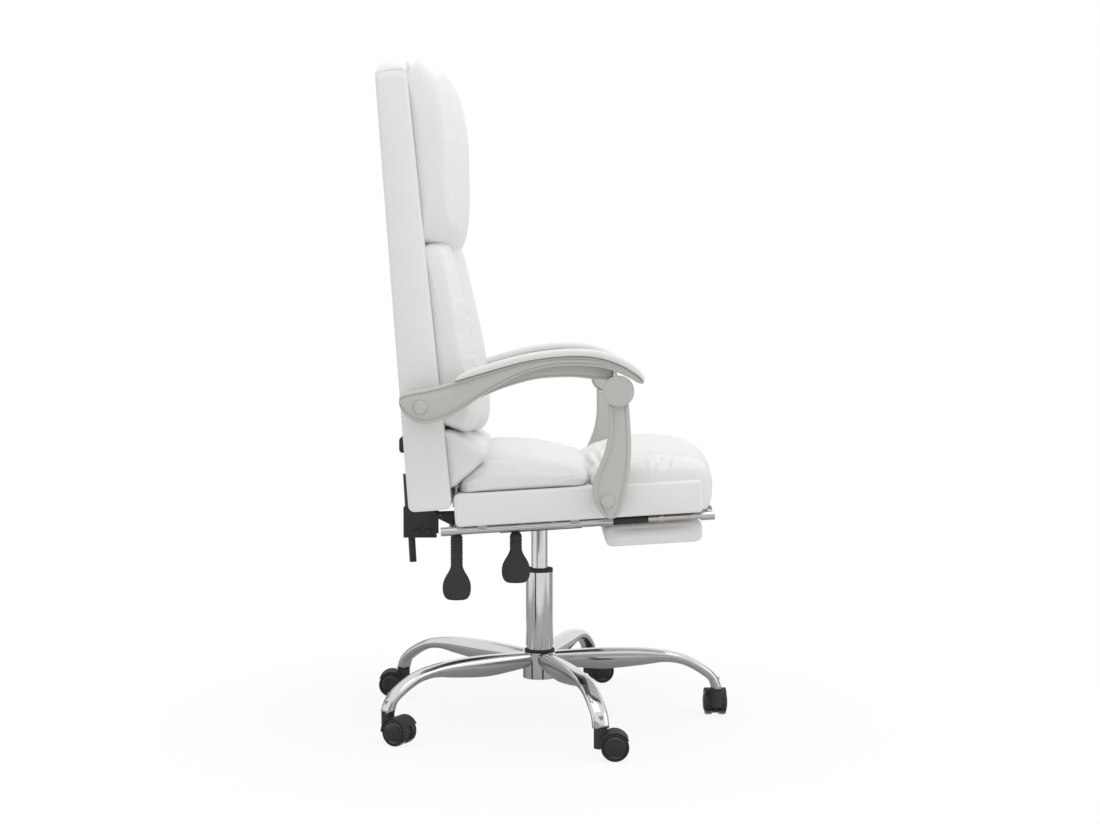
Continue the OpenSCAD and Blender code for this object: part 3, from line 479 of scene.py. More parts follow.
def padded_form(name, knots, half, plane, root, channels, across=True, base=0.3, seed=1,
                seam=0.93, side_drop=0.16, floor=0.8, middle=0.0, sag=0.0, ruffle=1.6, dome=0.6,
                power=3, gathers=()):
    """Crowned cushion over a closed side outline. At the share t of the half width every
    outline point is p = r + (p0 - r) k(t), r being p0 clipped to the foot's span. Channels at
    -c and c part three lobes. With w from -1 to 1 across a lobe, k = top - (top - end) |w|^power,
    where top is 1 + middle for the middle lobe and 1 for the others, and end is floor at a
    channel and 1 - side_drop at a seam; a narrow 0.05 exp(-((|t| - c) / STITCH)²) is taken off
    for the stitching. Beyond the seam the side is a dome: the section shrinks with cos^dome while x
    grows with sin. Sines whose size fades away from channels, seams and gathers add the
    creases. Returns the object, the points that stay where they are while it swells, and
    all its points."""
    top = smooth_line(knots, TOP_POINTS)
    foot = top[-1] + (top[0] - top[-1]) * np.linspace(0, 1, FOOT_POINTS + 2)[1:-1, None]
    line = np.concatenate([top, foot])
    s = np.concatenate([[0], np.cumsum(np.linalg.norm(np.diff(line, axis=0), axis=1))])
    run = s[TOP_POINTS - 1]
    free = np.zeros(len(line))
    free[:TOP_POINTS] = step(0, 16, np.minimum(s[:TOP_POINTS], run - s[:TOP_POINTS]))
    flow = np.roll(line, -1, 0) - np.roll(line, 1, 0)
    normal = np.stack([flow[:, 1], -flow[:, 0]], 1)
    normal /= np.linalg.norm(normal, axis=1)[:, None] + 1e-9
    if ((line - line.mean(0)) * normal).sum() < 0:
        normal = -normal
    t = np.linspace(-seam, seam, LOBE_SECTIONS)
    c = max(channels)
    inner = np.abs(t) <= c
    w = np.where(inner, np.abs(t) / c, 2 * (np.abs(t) - c) / (seam - c) - 1)
    crest = np.where(inner, 1 + middle, 1.0)
    end = np.where(inner | (w < 0), floor, 1 - side_drop)
    off = np.abs(t) - c
    k = crest - (crest - end) * np.abs(w) ** power - 0.05 * np.exp(-((off / STITCH) ** 2))
    near = np.exp(-np.abs(off) / 0.1) - 0.8 * np.exp(-np.abs(off) / 0.02)
    inside = 1 - step(0.75 * c, c, np.abs(t))
    near += 0.7 * np.exp(-(seam - np.abs(t)) / 0.06)
    anchor = np.stack([np.clip(line[:, 0], root[0], root[1]), np.minimum(line[:, 1], base)], 1)
    x_mm = t * half
    fine = waves(s[None, :], x_mm[:, None] * 0.22, seed, FINE_CREASE)
    broad = waves(s[None, :], x_mm[:, None], seed + 7, BROAD_CREASE)
    size = ruffle * (1.7 * fine * near[:, None] + 1.3 * broad)
    for x0, s0, reach, tall in gathers:
        off_x, off_s = x_mm[:, None] - x0, s[None, :] / run - s0
        spot = np.exp(-((off_x / reach) ** 2) - (off_s / 0.07) ** 2)
        folds = waves(s[None, :], x_mm[:, None] * 0.3, seed + 3, GATHER_CREASE, 3)
        size += tall * spot * folds
    lift = free[None, :] * size
    rings = anchor + (line - anchor) * k[:, None, None] + normal * lift[..., None]
    if sag:
        low = np.exp(-(((line[:, 0] - line[:, 0].min()) / 60.0) ** 2)) * free
        rings[..., 0] -= sag * inside[:, None] * low[None, :]
    phi = np.linspace(0, np.pi / 2, DOME_SECTIONS + 1)[1:]
    caps = []
    for ring in (rings[0], rings[-1]):
        centre = (ring.min(0) + ring.max(0)) / 2
        caps.append(centre + (ring - centre) * (0.06 + 0.94 * np.cos(phi)[:, None, None] ** dome))
    every = np.concatenate([caps[0][::-1], rings, caps[1]])
    out = seam + (1 - seam) * np.sin(phi)
    xs = half * np.concatenate([-out[::-1], t, out])
    a, b = (every[..., 0], every[..., 1]) if across else (every[..., 1], every[..., 0])
    points = place(xs[:, None], a, b, plane)
    still = np.zeros(points.shape[:2], bool)
    still[:, TOP_POINTS - 2 :] = still[:, :2] = True
    still[: DOME_SECTIONS + 1] = still[-DOME_SECTIONS - 1 :] = True
    for channel in channels:
        still |= (np.abs(xs - channel * half) < half * STITCH)[:, None]
    return skin(name, points), points[still], points


def both_sides(*gathers):
    """Gathers (x, share of the top's length, reach, height), each at -x and at x."""
    return [(side * x, *rest) for x, *rest in gathers for side in (-1, 1)]


def held_keys(points):
    """One whole number for each point, from its place in hundredths of a millimetre."""
    whole = np.round(np.asarray(points, float) * 1e5).astype(np.int64)
    return (whole[:, 0] * 2000003 + whole[:, 1]) * 2000003 + whole[:, 2]


def settle(obj, still, cap, pressure, frames=20):
    """Cloth under pressure with the still points pinned. A move of length d is shortened to
    cap tanh(d / cap), and the result is written into the mesh."""
    mesh = obj.data
    n = len(mesh.vertices)
    before = np.empty(n * 3, np.float32)
    mesh.vertices.foreach_get("co", before)
    before = before.reshape(-1, 3)
    group = obj.vertex_groups.new(name="held")
    group.add(np.nonzero(np.isin(held_keys(before), held_keys(still)))[0].tolist(), 1.0, "REPLACE")
    cloth = obj.modifiers.new("cloth", "CLOTH")
    s = cloth.settings
    s.vertex_group_mass = "held"
    s.use_pressure = True
    s.uniform_pressure_force = pressure
    s.effector_weights.gravity = 0
    s.quality = 4
    s.mass = 0.25
    s.tension_stiffness = s.compression_stiffness = 22
    s.shear_stiffness = 8
    s.bending_stiffness = 1.2
    cloth.collision_settings.use_collision = False
    cloth.point_cache.frame_start, cloth.point_cache.frame_end = 1, frames
    scene = bpy.context.scene
    for f in range(1, frames + 1):
        scene.frame_set(f)
    shaped = obj.evaluated_get(bpy.context.evaluated_depsgraph_get())
    after = np.empty(n * 3, np.float32)
    shaped.to_mesh().vertices.foreach_get("co", after)
    shaped.to_mesh_clear()
    move = after.reshape(-1, 3) - before
    size = np.linalg.norm(move, axis=1)[:, None] + 1e-9
    move *= cap / 1000.0 * np.tanh(size / (cap / 1000.0)) / size
    obj.modifiers.remove(cloth)
    obj.vertex_groups.clear()
    scene.frame_set(1)
    mesh.vertices.foreach_set("co", (before + move).astype(np.float32).ravel())
    mesh.update()


def refine(obj):
    """One live subdivision."""
    finer = obj.modifiers.new("finer", "SUBSURF")
    finer.levels = finer.render_levels = 1


def sewn(form, body, node, cap):
    """A cushion from padded_form(), settled, refined and dressed in the cover finish."""
    obj, still, _ = form
    settle(obj, still, cap, bpy.context.scene.chair_cover.swell)
    refine(obj)
    dress(obj, cover_finish(), body, "white_cover", node)


def welt_along(name, points, body, radius, closed=False):
    """Round welt in the cover's colour along a line of points."""
    welt = tube(name, points, radius, closed=closed)
    dress(welt, welt_finish(), body, "white_cover")


# ---------------------------------------------------------------- pieces


def build_legs():
    """Five sprung legs, swept along a side curve of knots (reach, height, half height h and
    half width w of the section). At angle t the section is w |cos t|^0.62 across and
    h |sin t|^0.8 up, with the signs of cos and sin, its foot drawn in by up to 0.16."""
    line = smooth_line([
        (22, 113, 13, 13.2), (70, 112, 17, 14.2), (125, 112, 19.5, 15), (190, 115, 16, 15),
        (233, 115.5, 11, 15), (268, 109, 9.3, 15), (300, 93, 9, 15), (322, 75, 9.2, 15),
        (330, 55.2, 10, 15),
    ], 64)
    flow = np.gradient(line[:, :2], axis=0)
    lean = np.arctan2(flow[:, 1], flow[:, 0])
    lean += (-np.pi / 2 - lean) * step(54, 63, np.arange(64))
    t = np.linspace(0, 2 * np.pi, 40, endpoint=False)
    wide = np.sign(np.cos(t)) * np.abs(np.cos(t)) ** 0.62
    tall = np.sign(np.sin(t)) * np.abs(np.sin(t)) ** 0.8
    high = line[:, 2, None] * tall
    reach = line[:, 0, None] - high * np.sin(lean)[:, None]
    rise = line[:, 1, None] + high * np.cos(lean)[:, None]
    across = line[:, 3, None] * wide * (1 - 0.16 * (tall < 0) * np.abs(tall))
    for k in range(5):
        a = math.radians(-90 + 72 * k)
        x = reach * math.cos(a) - across * math.sin(a)
        y = reach * math.sin(a) + across * math.cos(a)
        points = np.stack([x, y, rise], -1)
        leg = skin(f"star_leg_{k + 1}", points / 1000.0)
        dress(leg, chrome_finish(), "base", "chrome", f"leg_{k + 1}")


def build_seal():
    """Dark ring between the hub and the column: a rounded section carried round a circle."""
    t = np.linspace(0, 2 * np.pi, 64, endpoint=False)
    circle = np.stack([SEAL_R * np.cos(t), SEAL_R * np.sin(t), SEAL_HIGH + 0 * t], 1) / 1000.0
    seal = tube("column_seal", circle, SEAL_THICK, closed=True)
    dress(seal, black_plastic_finish(), "base", "black_plastic")


def build_caster(k):
    """One pair of wheels with a rounded tread, a ring groove and a domed hub cap."""
    turn = math.radians([0, -75, 90, -120, -90][k])
    a = math.radians(-90 + 72 * k)
    ahead = np.array([math.cos(turn), math.sin(turn), 0])
    axle = np.array([-math.sin(turn), math.cos(turn), 0])
    stem = np.array([LEG_REACH * math.cos(a), LEG_REACH * math.sin(a), WHEEL_R])
    profile = [
        (3.1, 6.8), (16.5, 6.8), (17.5, 6.2), (21.6, 6.1), (23.2, 6.8), (24, 8.4), (24, 17.0),
        (23.6, 18.6), (22.7, 19.5), (21.5, 19.8), (20.4, 19.3), (19.9, 18.3), (19.4, 18.3),
        (18.9, 19.3), (17.6, 20.5), (14.5, 21.6), (10, 22.4), (5, 22.8), (0.01, 22.9),
    ]
    for side, label in ((-1, "inner"), (1, "outer")):
        name = f"wheel_{k + 1}_{label}"
        wheel = turned(name, profile, stem + TRAIL * ahead, axle * side, 56)
        dress(wheel, tyre_finish(), f"wheels_{k + 1}", "caster_tread", f"caster_{k + 1}_wheels")


def box_form(name, half, edge, sides_at, plane, radius, bulge=2.5, warp=None, stations=40):
    """Upholstered box. At x its section is a rounded rectangle (a0, a1, b0, b1) = sides_at(x).
    Towards each side it shrinks by e (1 - cos p) while x grows by e sin p. The side panel
    swells by s (1 - A²)(1 - B⁴), where A and B run from -1 to 1 across it and along it, and
    closes as a strip along its middle. Returns the object, all its points and the numbers
    of the two rings that carry a welt."""
    per_side = 22
    phi = np.linspace(0, np.pi / 2, 6)
    turn = half - edge + edge * np.sin(phi[1:])
    xs = np.concatenate([np.linspace(0, half - edge, stations), turn])
    insets = np.concatenate([np.zeros(stations), edge * (1 - np.cos(phi[1:]))])
    a0, a1, b0, b1 = sides_at(half)
    upright = b1 - b0 > a1 - a0
    share = np.array([0.04, 0.1, 0.22, 0.36, 0.52, 0.7, 0.86])
    insets = np.concatenate([insets, edge + (min(a1 - a0, b1 - b0) / 2 - edge) * share])
    xs = np.concatenate([xs, np.full(len(share), half)])
    rings, grow = [], []
    for x, inset in zip(xs, insets):
        a0, a1, b0, b1 = sides_at(x)
        r = max(radius - inset * 0.6, 0.3)
        ring = rounded_outline(a0 + inset, a1 - inset, b0 + inset, b1 - inset, r, per_side)
        across = (2 * ring[:, 0] - a0 - a1) / (a1 - a0 - 2 * edge)
        along = (2 * ring[:, 1] - b0 - b1) / (b1 - b0 - 2 * edge)
        short, long = (across, along) if upright else (along, across)
        swell = bulge * np.clip(1 - short**2, 0, 1) * np.clip(1 - long**4, 0, 1)
        grow.append(x + swell * (inset > edge))
        rings.append(warp(ring, x) if warp else ring)
    rings, grow = np.array(rings), np.array(grow)
    rings = np.concatenate([rings[:0:-1], rings])
    grow = np.concatenate([-grow[:0:-1], grow])
    points = place(grow, rings[..., 0], rings[..., 1], plane)
    mirror = (1 if upright else 3) * (per_side + CORNER_POINTS) + CORNER_POINTS - 1
    welt_ring = len(share) + 3
    return skin(name, points, mirror), points, (welt_ring, len(points) - 1 - welt_ring)


def build_seat():
    """Upholstered base, two cushions on it, their welts, and the footrest."""
    sides = (-146, 283, 0, 57)
    base, _, _ = box_form("seat_base_cover", HALF_WIDTH, 7, lambda x: sides, SEAT, 9, 3.0)
    refine(base)
    dress(base, cover_finish(), "seat", "white_cover", "seat_base")
    up = 57.3  # foot of the cushions
    rear = [
        (82, 0), (88, 8), (82, 20), (50, 32), (4, 41), (-44, 45), (-84, 46), (-115, 36), (-134, 19),
        (-136, 0),
    ]
    form = padded_form(
        "rear_seat_cushion", [(u, w + up) for u, w in rear], 237, SEAT, (-104, 66), (-0.42, 0.42),
        base=up, seed=11, side_drop=0.3, floor=0.3, middle=0.6, power=5, ruffle=1.5,
        gathers=both_sides((80, 0.14, 50, 9.0), (185, 0.13, 40, 7.0)),
    )
    sewn(form, "seat", "seat_cushion_rear", 7)
    c = 283.3  # front of the base
    front = [
        (c + 7, -55), (c + 15, -38), (c + 20, -12), (c + 17, 9), (c + 4, 25), (c - 28, 34),
        (200, 38), (140, 36), (104, 26), (92, 12), (90, 0.2),
    ]
    form = padded_form(
        "front_seat_cushion", [(u, w + up) for u, w in front], 239, SEAT, (130, c), (-0.42, 0.42),
        base=up, seed=23, side_drop=0.2, floor=0.3, middle=0.66, power=5, seam=0.95, ruffle=1.5,
        gathers=both_sides(
            (80, 0.88, 50, 9.0), (185, 0.86, 40, 7.0), (218, 0.52, 26, 9.0), (190, 0.3, 30, 3.0),
        ),
    )
    for label, i in (("right", DOME_SECTIONS), ("left", -DOME_SECTIONS - 1)):
        welt_along(f"front_cushion_welt_{label}", form[2][i, 2:70], "seat", 0.9)
    sewn(form, "seat", "seat_cushion_front", 7)
    pad_sides = (112, 283, -57.3, -17.4)
    pad, _, _ = box_form("footrest_cushion", 195, 9, lambda x: pad_sides, SEAT, 13, 4.0)
    refine(pad)
    dress(pad, cover_finish(), "footrest", "white_cover", "footrest_pad")


def build_back():
    """Upholstered shell with its side welts, and the three pillows before it."""
    crown = smooth_line([(0, 787), (110, 785), (180, 781), (222, 774), (238, 764), (245, 747)], 90)

    def sides_at(x):
        """The foot has a notch in the middle, where the bracket passes."""
        top = np.interp(abs(x), crown[:, 0], crown[:, 1])
        return 0.0, 75.0, 34.0 if abs(x) < 52 else 0.0, top

    def warp(ring, x):
        """Depth a is scaled to 75 - 21 b/745 at height b; the rear swells by
        5 (1 - (x/half)²) sin(pi b/760); the crown falls by 16 (1 - a/45)² towards the rear."""
        a, b = ring[:, 0], ring[:, 1]
        deep = 75 - 21 * np.clip(b, 0, 760) / 745
        arch = np.sin(np.pi * np.clip(b / 760, 0, 1))
        swell = 5 * max(1 - (x / HALF_WIDTH) ** 2, 0) * arch * step(0.55, 0.1, a / 75)
        drop = 16 * (1 - np.clip(a / 45, 0, 1)) ** 2 * step(738, 780, b)
        return np.stack([a * deep / 75 - swell, b - drop], 1)

    shell, rings, ends = box_form("back_shell", HALF_WIDTH, 7, sides_at, BACK, 11, 3.0, warp, 60)
    refine(shell)
    dress(shell, cover_finish(), "back", "white_cover", "back_frame")
    for label, i in zip(("right", "left"), ends):
        welt_along(f"back_side_welt_{label}", rings[i], "back", 1.0, closed=True)
    head = [
        (462, -3), (459, 18), (463, 38), (484, 54), (530, 66), (600, 72), (660, 75), (705, 73),
        (738, 66), (765, 52), (782, 34), (780, 17), (767, 4), (756, -3),
    ]
    form = padded_form(
        "headrest_pillow", head, 238, FACE, (500, 730), (-0.5, 0.5), across=False, seed=31,
        side_drop=0.2, floor=0.82, middle=0.12, sag=12, ruffle=1.6,
        gathers=both_sides((150, 0.5, 40, 4.0), (100, 0.85, 30, 3.0)),
    )
    sewn(form, "back", "headrest_cushion", 7)
    middle = [
        (148, -3), (141, 10), (133, 28), (133, 45), (149, 57), (185, 60), (277, 60), (335, 56),
        (384, 50), (423, 46), (457, 38), (470, 21), (468, -3),
    ]
    form = padded_form(
        "back_pillow", middle, 235, FACE, (190, 420), (-0.42, 0.42), across=False, seed=37,
        side_drop=0.2, floor=0.8, middle=0.26, sag=-6, ruffle=2.0,
        gathers=both_sides((150, 0.45, 40, 5.0), (150, 0.62, 45, 4.5)) + [(0, 0.05, 90, 3.0)],
    )
    sewn(form, "back", "back_cushion", 6)
    low = [
        (37, -3), (41, 10), (53, 27), (70, 52), (86, 66), (99, 65), (117, 44), (134, 22), (141, 8),
        (141, -3),
    ]
    form = padded_form(
        "lumbar_pillow", low, 232, FACE, (60, 120), (-0.42, 0.42), across=False, seed=41,
        side_drop=0.12, floor=0.8, middle=0.1, ruffle=1.0,
    )
    sewn(form, "back", "lumbar_cushion", 5)


def build_cheeks():
    """Black cheeks beside the gas spring's upper eye: rounded plates with their rims drawn in."""
    for side, label in ((-1, "right"), (1, "left")):
        rings = []
        for x, rim in ((15.2, 0.7), (15.9, 0), (19.3, 0), (20, 0.7)):
            ring = rounded_outline(-258.3 + rim, -238 - rim, 497 + rim, 526 - rim, 6)
            rings.append(place(side * x, ring[:, 0], ring[:, 1]))
        dress(skin(f"spring_cheek_{label}", rings), black_paint_finish(), "back", "black_metal")


def build_arm(sign, label):
    """One armrest: bar with its web, soft top, post, round cover and pin caps. The soft top
    is 0.8 + 11.6 sqrt(1 - |s|^7) thick, s running from -1 to 1 along it."""
    bar_name, post_name = f"arm_bar_{label}", f"arm_post_{label}"  # of a body and its node

    def grey(obj, body, *nodes):
        dress(obj, arm_finish(), body, "grey_plastic", *nodes)

    def boss(name, profile, x, pivot, steps=64):
        """Turned form on the line of a pivot, from x outwards."""
        centre = (sign * x, -pivot[0], pivot[1])
        return turned(f"{name}_{label}", profile, centre, (sign, 0, 0), steps)

    rest = [
        (-143, 640), (-102, 652), (-34, 671), (11, 679), (55, 682), (92, 680), (120, 673),
        (145, 662), (166, 648), (174, 638),
    ]
    rear = [(-237, 607), (-236.5, 613), (-232, 618), (-214, 623), (-193, 627), (-167, 633)]
    upper = smooth_line(rear + rest, 90)
    lower = smooth_line([
        (-237, 605), (-236, 597), (-230, 586), (-219, 576), (-203, 569.5), (-186, 569), (-160, 577),
        (-133, 591), (-88, 621), (-34, 650), (11, 663), (57, 666), (102, 663), (132, 654),
        (153, 644), (165, 637), (173, 636),
    ], 90)
    bar = blade(f"arm_bar_form_{label}", upper, lower, sign * ARM_MID, 40, 5, 4.5, 1.8, sign)
    grey(bar, bar_name, bar_name)
    top = smooth_line([
        (-112, 614), (-88, 630), (-34, 658), (11, 671), (57, 673), (102, 670), (126, 663),
    ], 50)
    foot = smooth_line([
        (-104, 610), (-66, 626), (-34, 636), (-4, 643), (26, 645.5), (57, 646), (88, 643),
        (122, 641),
    ], 50)
    web = blade(f"arm_web_{label}", top, foot, sign * 268.5, 13, 2.5, 3.0, 1.2, sign)
    grey(web, bar_name, bar_name)
    lug = boss("arm_lug", rounded_profile(23, 13, 1.5), ARM_IN, PIVOT_B)
    grey(lug, bar_name, bar_name)

    line = smooth_line(rest, 70)
    flow = np.gradient(line, axis=0)
    normal = np.stack([-flow[:, 1], flow[:, 0]], 1)
    normal /= np.linalg.norm(normal, axis=1)[:, None]
    s = np.linspace(-1, 1, 70)
    thick = 0.8 + 11.6 * (1 - np.abs(s) ** 7) ** 0.5
    over, under = line + normal * thick[:, None], line + normal * 0.15
    pad = blade(f"arm_top_{label}", over, under, sign * ARM_MID, 52, 6.5)
    refine(pad)
    dress(pad, pad_finish(), bar_name, "white_pad", f"arm_pad_{label}")

    fore = smooth_line([
        (119.8, 406.6), (127, 408), (133.5, 412.8), (139, 423), (143.5, 443), (150, 474),
        (154, 520), (153, 560), (150, 600),
    ], 60)
    aft = smooth_line([
        (119.2, 406.6), (112, 408), (105.5, 412.8), (99, 424), (92, 441), (89, 456), (93, 476),
        (108, 514), (115, 545), (116, 575), (115.5, 600),
    ], 60)
    post = blade(f"arm_post_form_{label}", fore, aft, sign * 277, 30, 5, 6.5, 1.6, sign)
    grey(post, post_name, post_name)
    head = boss("arm_post_head", rounded_profile(25, 16.4, 1.5), 275.6, PIVOT_B)
    grey(head, post_name, post_name)
    disc = [
        (0.01, 0), (25.5, 0), (26.5, 1.2), (26.5, 5.2), (26.0, 6.6), (24.6, 7.4), (20, 7.9),
        (10, 8.3), (0.01, 8.4),
    ]
    grey(boss("arm_cover", disc, POST_FACE, PIVOT_B, 80), post_name, f"arm_disc_{label}")
    cap = [
        (0.01, 0), (11.4, 0), (11.3, 0.7), (10.7, 2.4), (10.1, 3.9), (9.2, 4.5), (7.8, 4.7),
        (7.2, 4.5), (6.6, 4.7), (3, 4.9), (0.01, 5),
    ]
    grey(boss("arm_rear_cap", cap, BAR_FACE, PIVOT_A, 48), "back")
    grey(boss("arm_low_cap", cap, POST_FACE, PIVOT_C, 48), "seat")


def build_grip(name, node, body, forward, foot, shoulder, top):
    """Lever grip: sections of half width a and half thickness b, at angle t the point
    (a cos t, b sin t), stacked from the foot up. The neck carries ribs of radius
    10 + 0.9 sin²(pi h / 5.5) and closes in a dome; a sleeve leads to the lever."""
    shape = smooth_line([
        (0, 3, 1.5), (0.1, 9, 3.8), (1.0, 15, 5.2), (4, 19.7, 6.4), (9, 22.8, 7), (15, 24.4, 7.2),
        (24, 24.6, 7.4), (31, 23.3, 7.8), (37, 20.8, 8.3), (43, 17.3, 8.9), (49, 13.6, 9.2),
        (55, 11, 9.5),
    ], 60)
    shape[:, 0] = foot + shape[:, 0] * (shoulder - foot) / 55
    h = np.arange(0.9, top - 8 - shoulder, 0.9)
    rib = 10 + 0.9 * np.sin(np.pi * h / 5.5) ** 2
    dome = np.linspace(0.1, 0.98, 8) * np.pi / 2
    cap = np.stack([top - 8 + 8 * np.sin(dome), 10 * np.cos(dome), 9.3 * np.cos(dome)], 1)
    line = np.concatenate([shape, np.stack([shoulder + h, rib, rib - 0.6], 1), cap])
    t = np.linspace(0, 2 * np.pi, 40, endpoint=False)
    x = LEVER_X + line[:, 2, None] * np.sin(t)
    points = place(x, forward + line[:, 1, None] * np.cos(t), line[:, 0, None] + 0 * t)
    dress(skin(name, points), black_plastic_finish(), body, "black_plastic", node)
    sleeve_form, sleeve_at = rounded_profile(6, 24.5, 1.0), (LEVER_X, -forward, top - 7.5)
    sleeve = turned(f"{name}_sleeve", sleeve_form, sleeve_at, (1, 0, 0), 32)
    dress(sleeve, black_plastic_finish(), body, "black_plastic", node)


def finish_nodes():
    """Finishes of the solids that keep their own shape."""
    chrome = ["base_hub", "column_tube", "lift_cylinder", "slide_rods", "rail_tubes"]
    steel = ["lift_rod", "seat_bolts", "footrest_hinge", "height_lever_rod", "recline_lever_rod",
             "gas_spring_rod"] + [f"caster_{k}_pins" for k in range(1, 6)]
    paint = [
        "seat_mechanism", "recline_bracket", "back_bracket", "gas_spring_cylinder",
        "seat_pivot_pins", "back_pivot_pins",
    ]
    plastic = ["column_bearings", "rail_bushes", "lift_button"]
    plastic += [f"caster_{k}_housing" for k in range(1, 6)]
    boards = ["seat_board", "back_board"]
    for names, finish in (
        (chrome, chrome_finish()), (steel, steel_finish()), (paint, black_paint_finish()),
        (plastic, black_plastic_finish()), (boards, board_finish()),
    ):
        for name in names:
            paint_node(name, finish)


# ---------------------------------------------------------------- studio


def flat_sheet(name, corners, material):
    """One flat face of the stage."""
    mesh = bpy.data.meshes.new(name)
    mesh.from_pydata([Vector(c) for c in corners], [], [(0, 1, 2, 3)])
    mesh.materials.append(material)
    obj = into_scene(name, mesh)
    return obj


def clear_rays(tree):
    """1 for camera, mirror and glass rays and 0 for the rest."""
    path = add_node(tree, "ShaderNodeLightPath")
    seen = add_node(tree, "ShaderNodeMath", operation="MAXIMUM")
    clear = add_node(tree, "ShaderNodeMath", operation="MAXIMUM")
    link(tree, path, "Is Camera Ray", seen, 0)
    link(tree, path, "Is Glossy Ray", seen, 1)
    link(tree, seen, 0, clear, 0)
    link(tree, path, "Is Transmission Ray", clear, 1)
    return clear.outputs[0]


def floor_paint():
    """Plain white floor. Camera, mirror and glass rays see it mixed with white of strength 1,
    by a share that grows from 0.88 under the chair to all of it far away."""
    material = bpy.data.materials.new("studio_floor")
    material.use_nodes = True
    tree = material.node_tree
    tree.nodes.clear()
    out = add_node(tree, "ShaderNodeOutputMaterial")
    body = add_node(tree, "ShaderNodeBsdfDiffuse", {"Color": (0.9, 0.9, 0.9, 1)})
    white = add_node(tree, "ShaderNodeEmission", {"Color": (1, 1, 1, 1), "Strength": 1.0})
    both = add_node(tree, "ShaderNodeMixShader")
    where = add_node(tree, "ShaderNodeTexCoord")
    far = add_node(tree, "ShaderNodeVectorMath", operation="LENGTH")
    share = add_node(tree, "ShaderNodeMapRange", {
        "From Min": 0.35, "From Max": 0.9, "To Min": 0.88, "To Max": 1.0,
    }, interpolation_type="SMOOTHSTEP")
    mask = add_node(tree, "ShaderNodeMath", operation="MULTIPLY")
    link(tree, where, "Object", far, 0)
    link(tree, far, "Value", share, "Value")
    tree.links.new(clear_rays(tree), mask.inputs[0])
    link(tree, share, "Result", mask, 1)
    link(tree, mask, 0, both, 0)
    link(tree, body, 0, both, 1)
    link(tree, white, 0, both, 2)
    link(tree, both, 0, out, "Surface")
    return material


def upright_reflection(name, start, end, foot, top, material):
    """Upright sheet between two points of the floor, seen only in polished surfaces: a painted
    reflection.
    """
    return flat_sheet(name, [(*start, foot), (*end, foot), (*end, top), (*start, top)], material)


def reflection_paint(name, tone):
    """Matt grey of a sheet seen only in polished surfaces, which paints a reflection into them."""
    material = bpy.data.materials.new(name)
    material.use_nodes = True
    body = material.node_tree.nodes["Principled BSDF"]
    body.inputs["Base Color"].default_value = (tone, tone, tone, 1)
    body.inputs["Roughness"].default_value = 1.0
    body.inputs["Specular IOR Level"].default_value = 0.0
    return material


def studio_world(strength):
    """White at strength 1 for camera, mirror and glass rays, even light for the rest."""
    world = bpy.data.worlds.new("studio_world")
    bpy.context.scene.world = world
    world.use_nodes = True
    tree = world.node_tree
    tree.nodes.clear()
    out = add_node(tree, "ShaderNodeOutputWorld")
    light = add_node(tree, "ShaderNodeBackground", {"Color": (1, 1, 1, 1), "Strength": strength})
    white = add_node(tree, "ShaderNodeBackground", {"Color": (1, 1, 1, 1), "Strength": 1.0})
    both = add_node(tree, "ShaderNodeMixShader")
    tree.links.new(clear_rays(tree), both.inputs[0])
    link(tree, light, 0, both, 1)
    link(tree, white, 0, both, 2)
    link(tree, both, 0, out, "Surface")


def lamp(name, place_at, aim, size, watts):
    """Softbox turned towards the point aim."""
    data = bpy.data.lights.new(name, "AREA")
    data.shape = "RECTANGLE"
    data.size, data.size_y = size
    data.energy = watts
    obj = into_scene(name, data)
    obj.location = place_at
    obj.rotation_euler = (Vector(aim) - Vector(place_at)).to_track_quat("-Z", "Y").to_euler()


def place_camera():
    """The photograph's camera, on the chair's right side."""
    data = bpy.data.cameras.new("studio_camera")
    data.lens = 58.24
    data.sensor_width = 36.0
    data.sensor_fit = "HORIZONTAL"
    camera = into_scene("studio_camera", data)
    camera.location = (-3.2854, 0.0112, 0.7618)
    yaw, pitch = 0.009315, 0.057966
    level = math.cos(pitch)
    ahead = Vector((math.cos(yaw) * level, -math.sin(yaw) * level, -math.sin(pitch)))
    camera.rotation_euler = ahead.to_track_quat("-Z", "Y").to_euler()
    bpy.context.scene.camera = camera


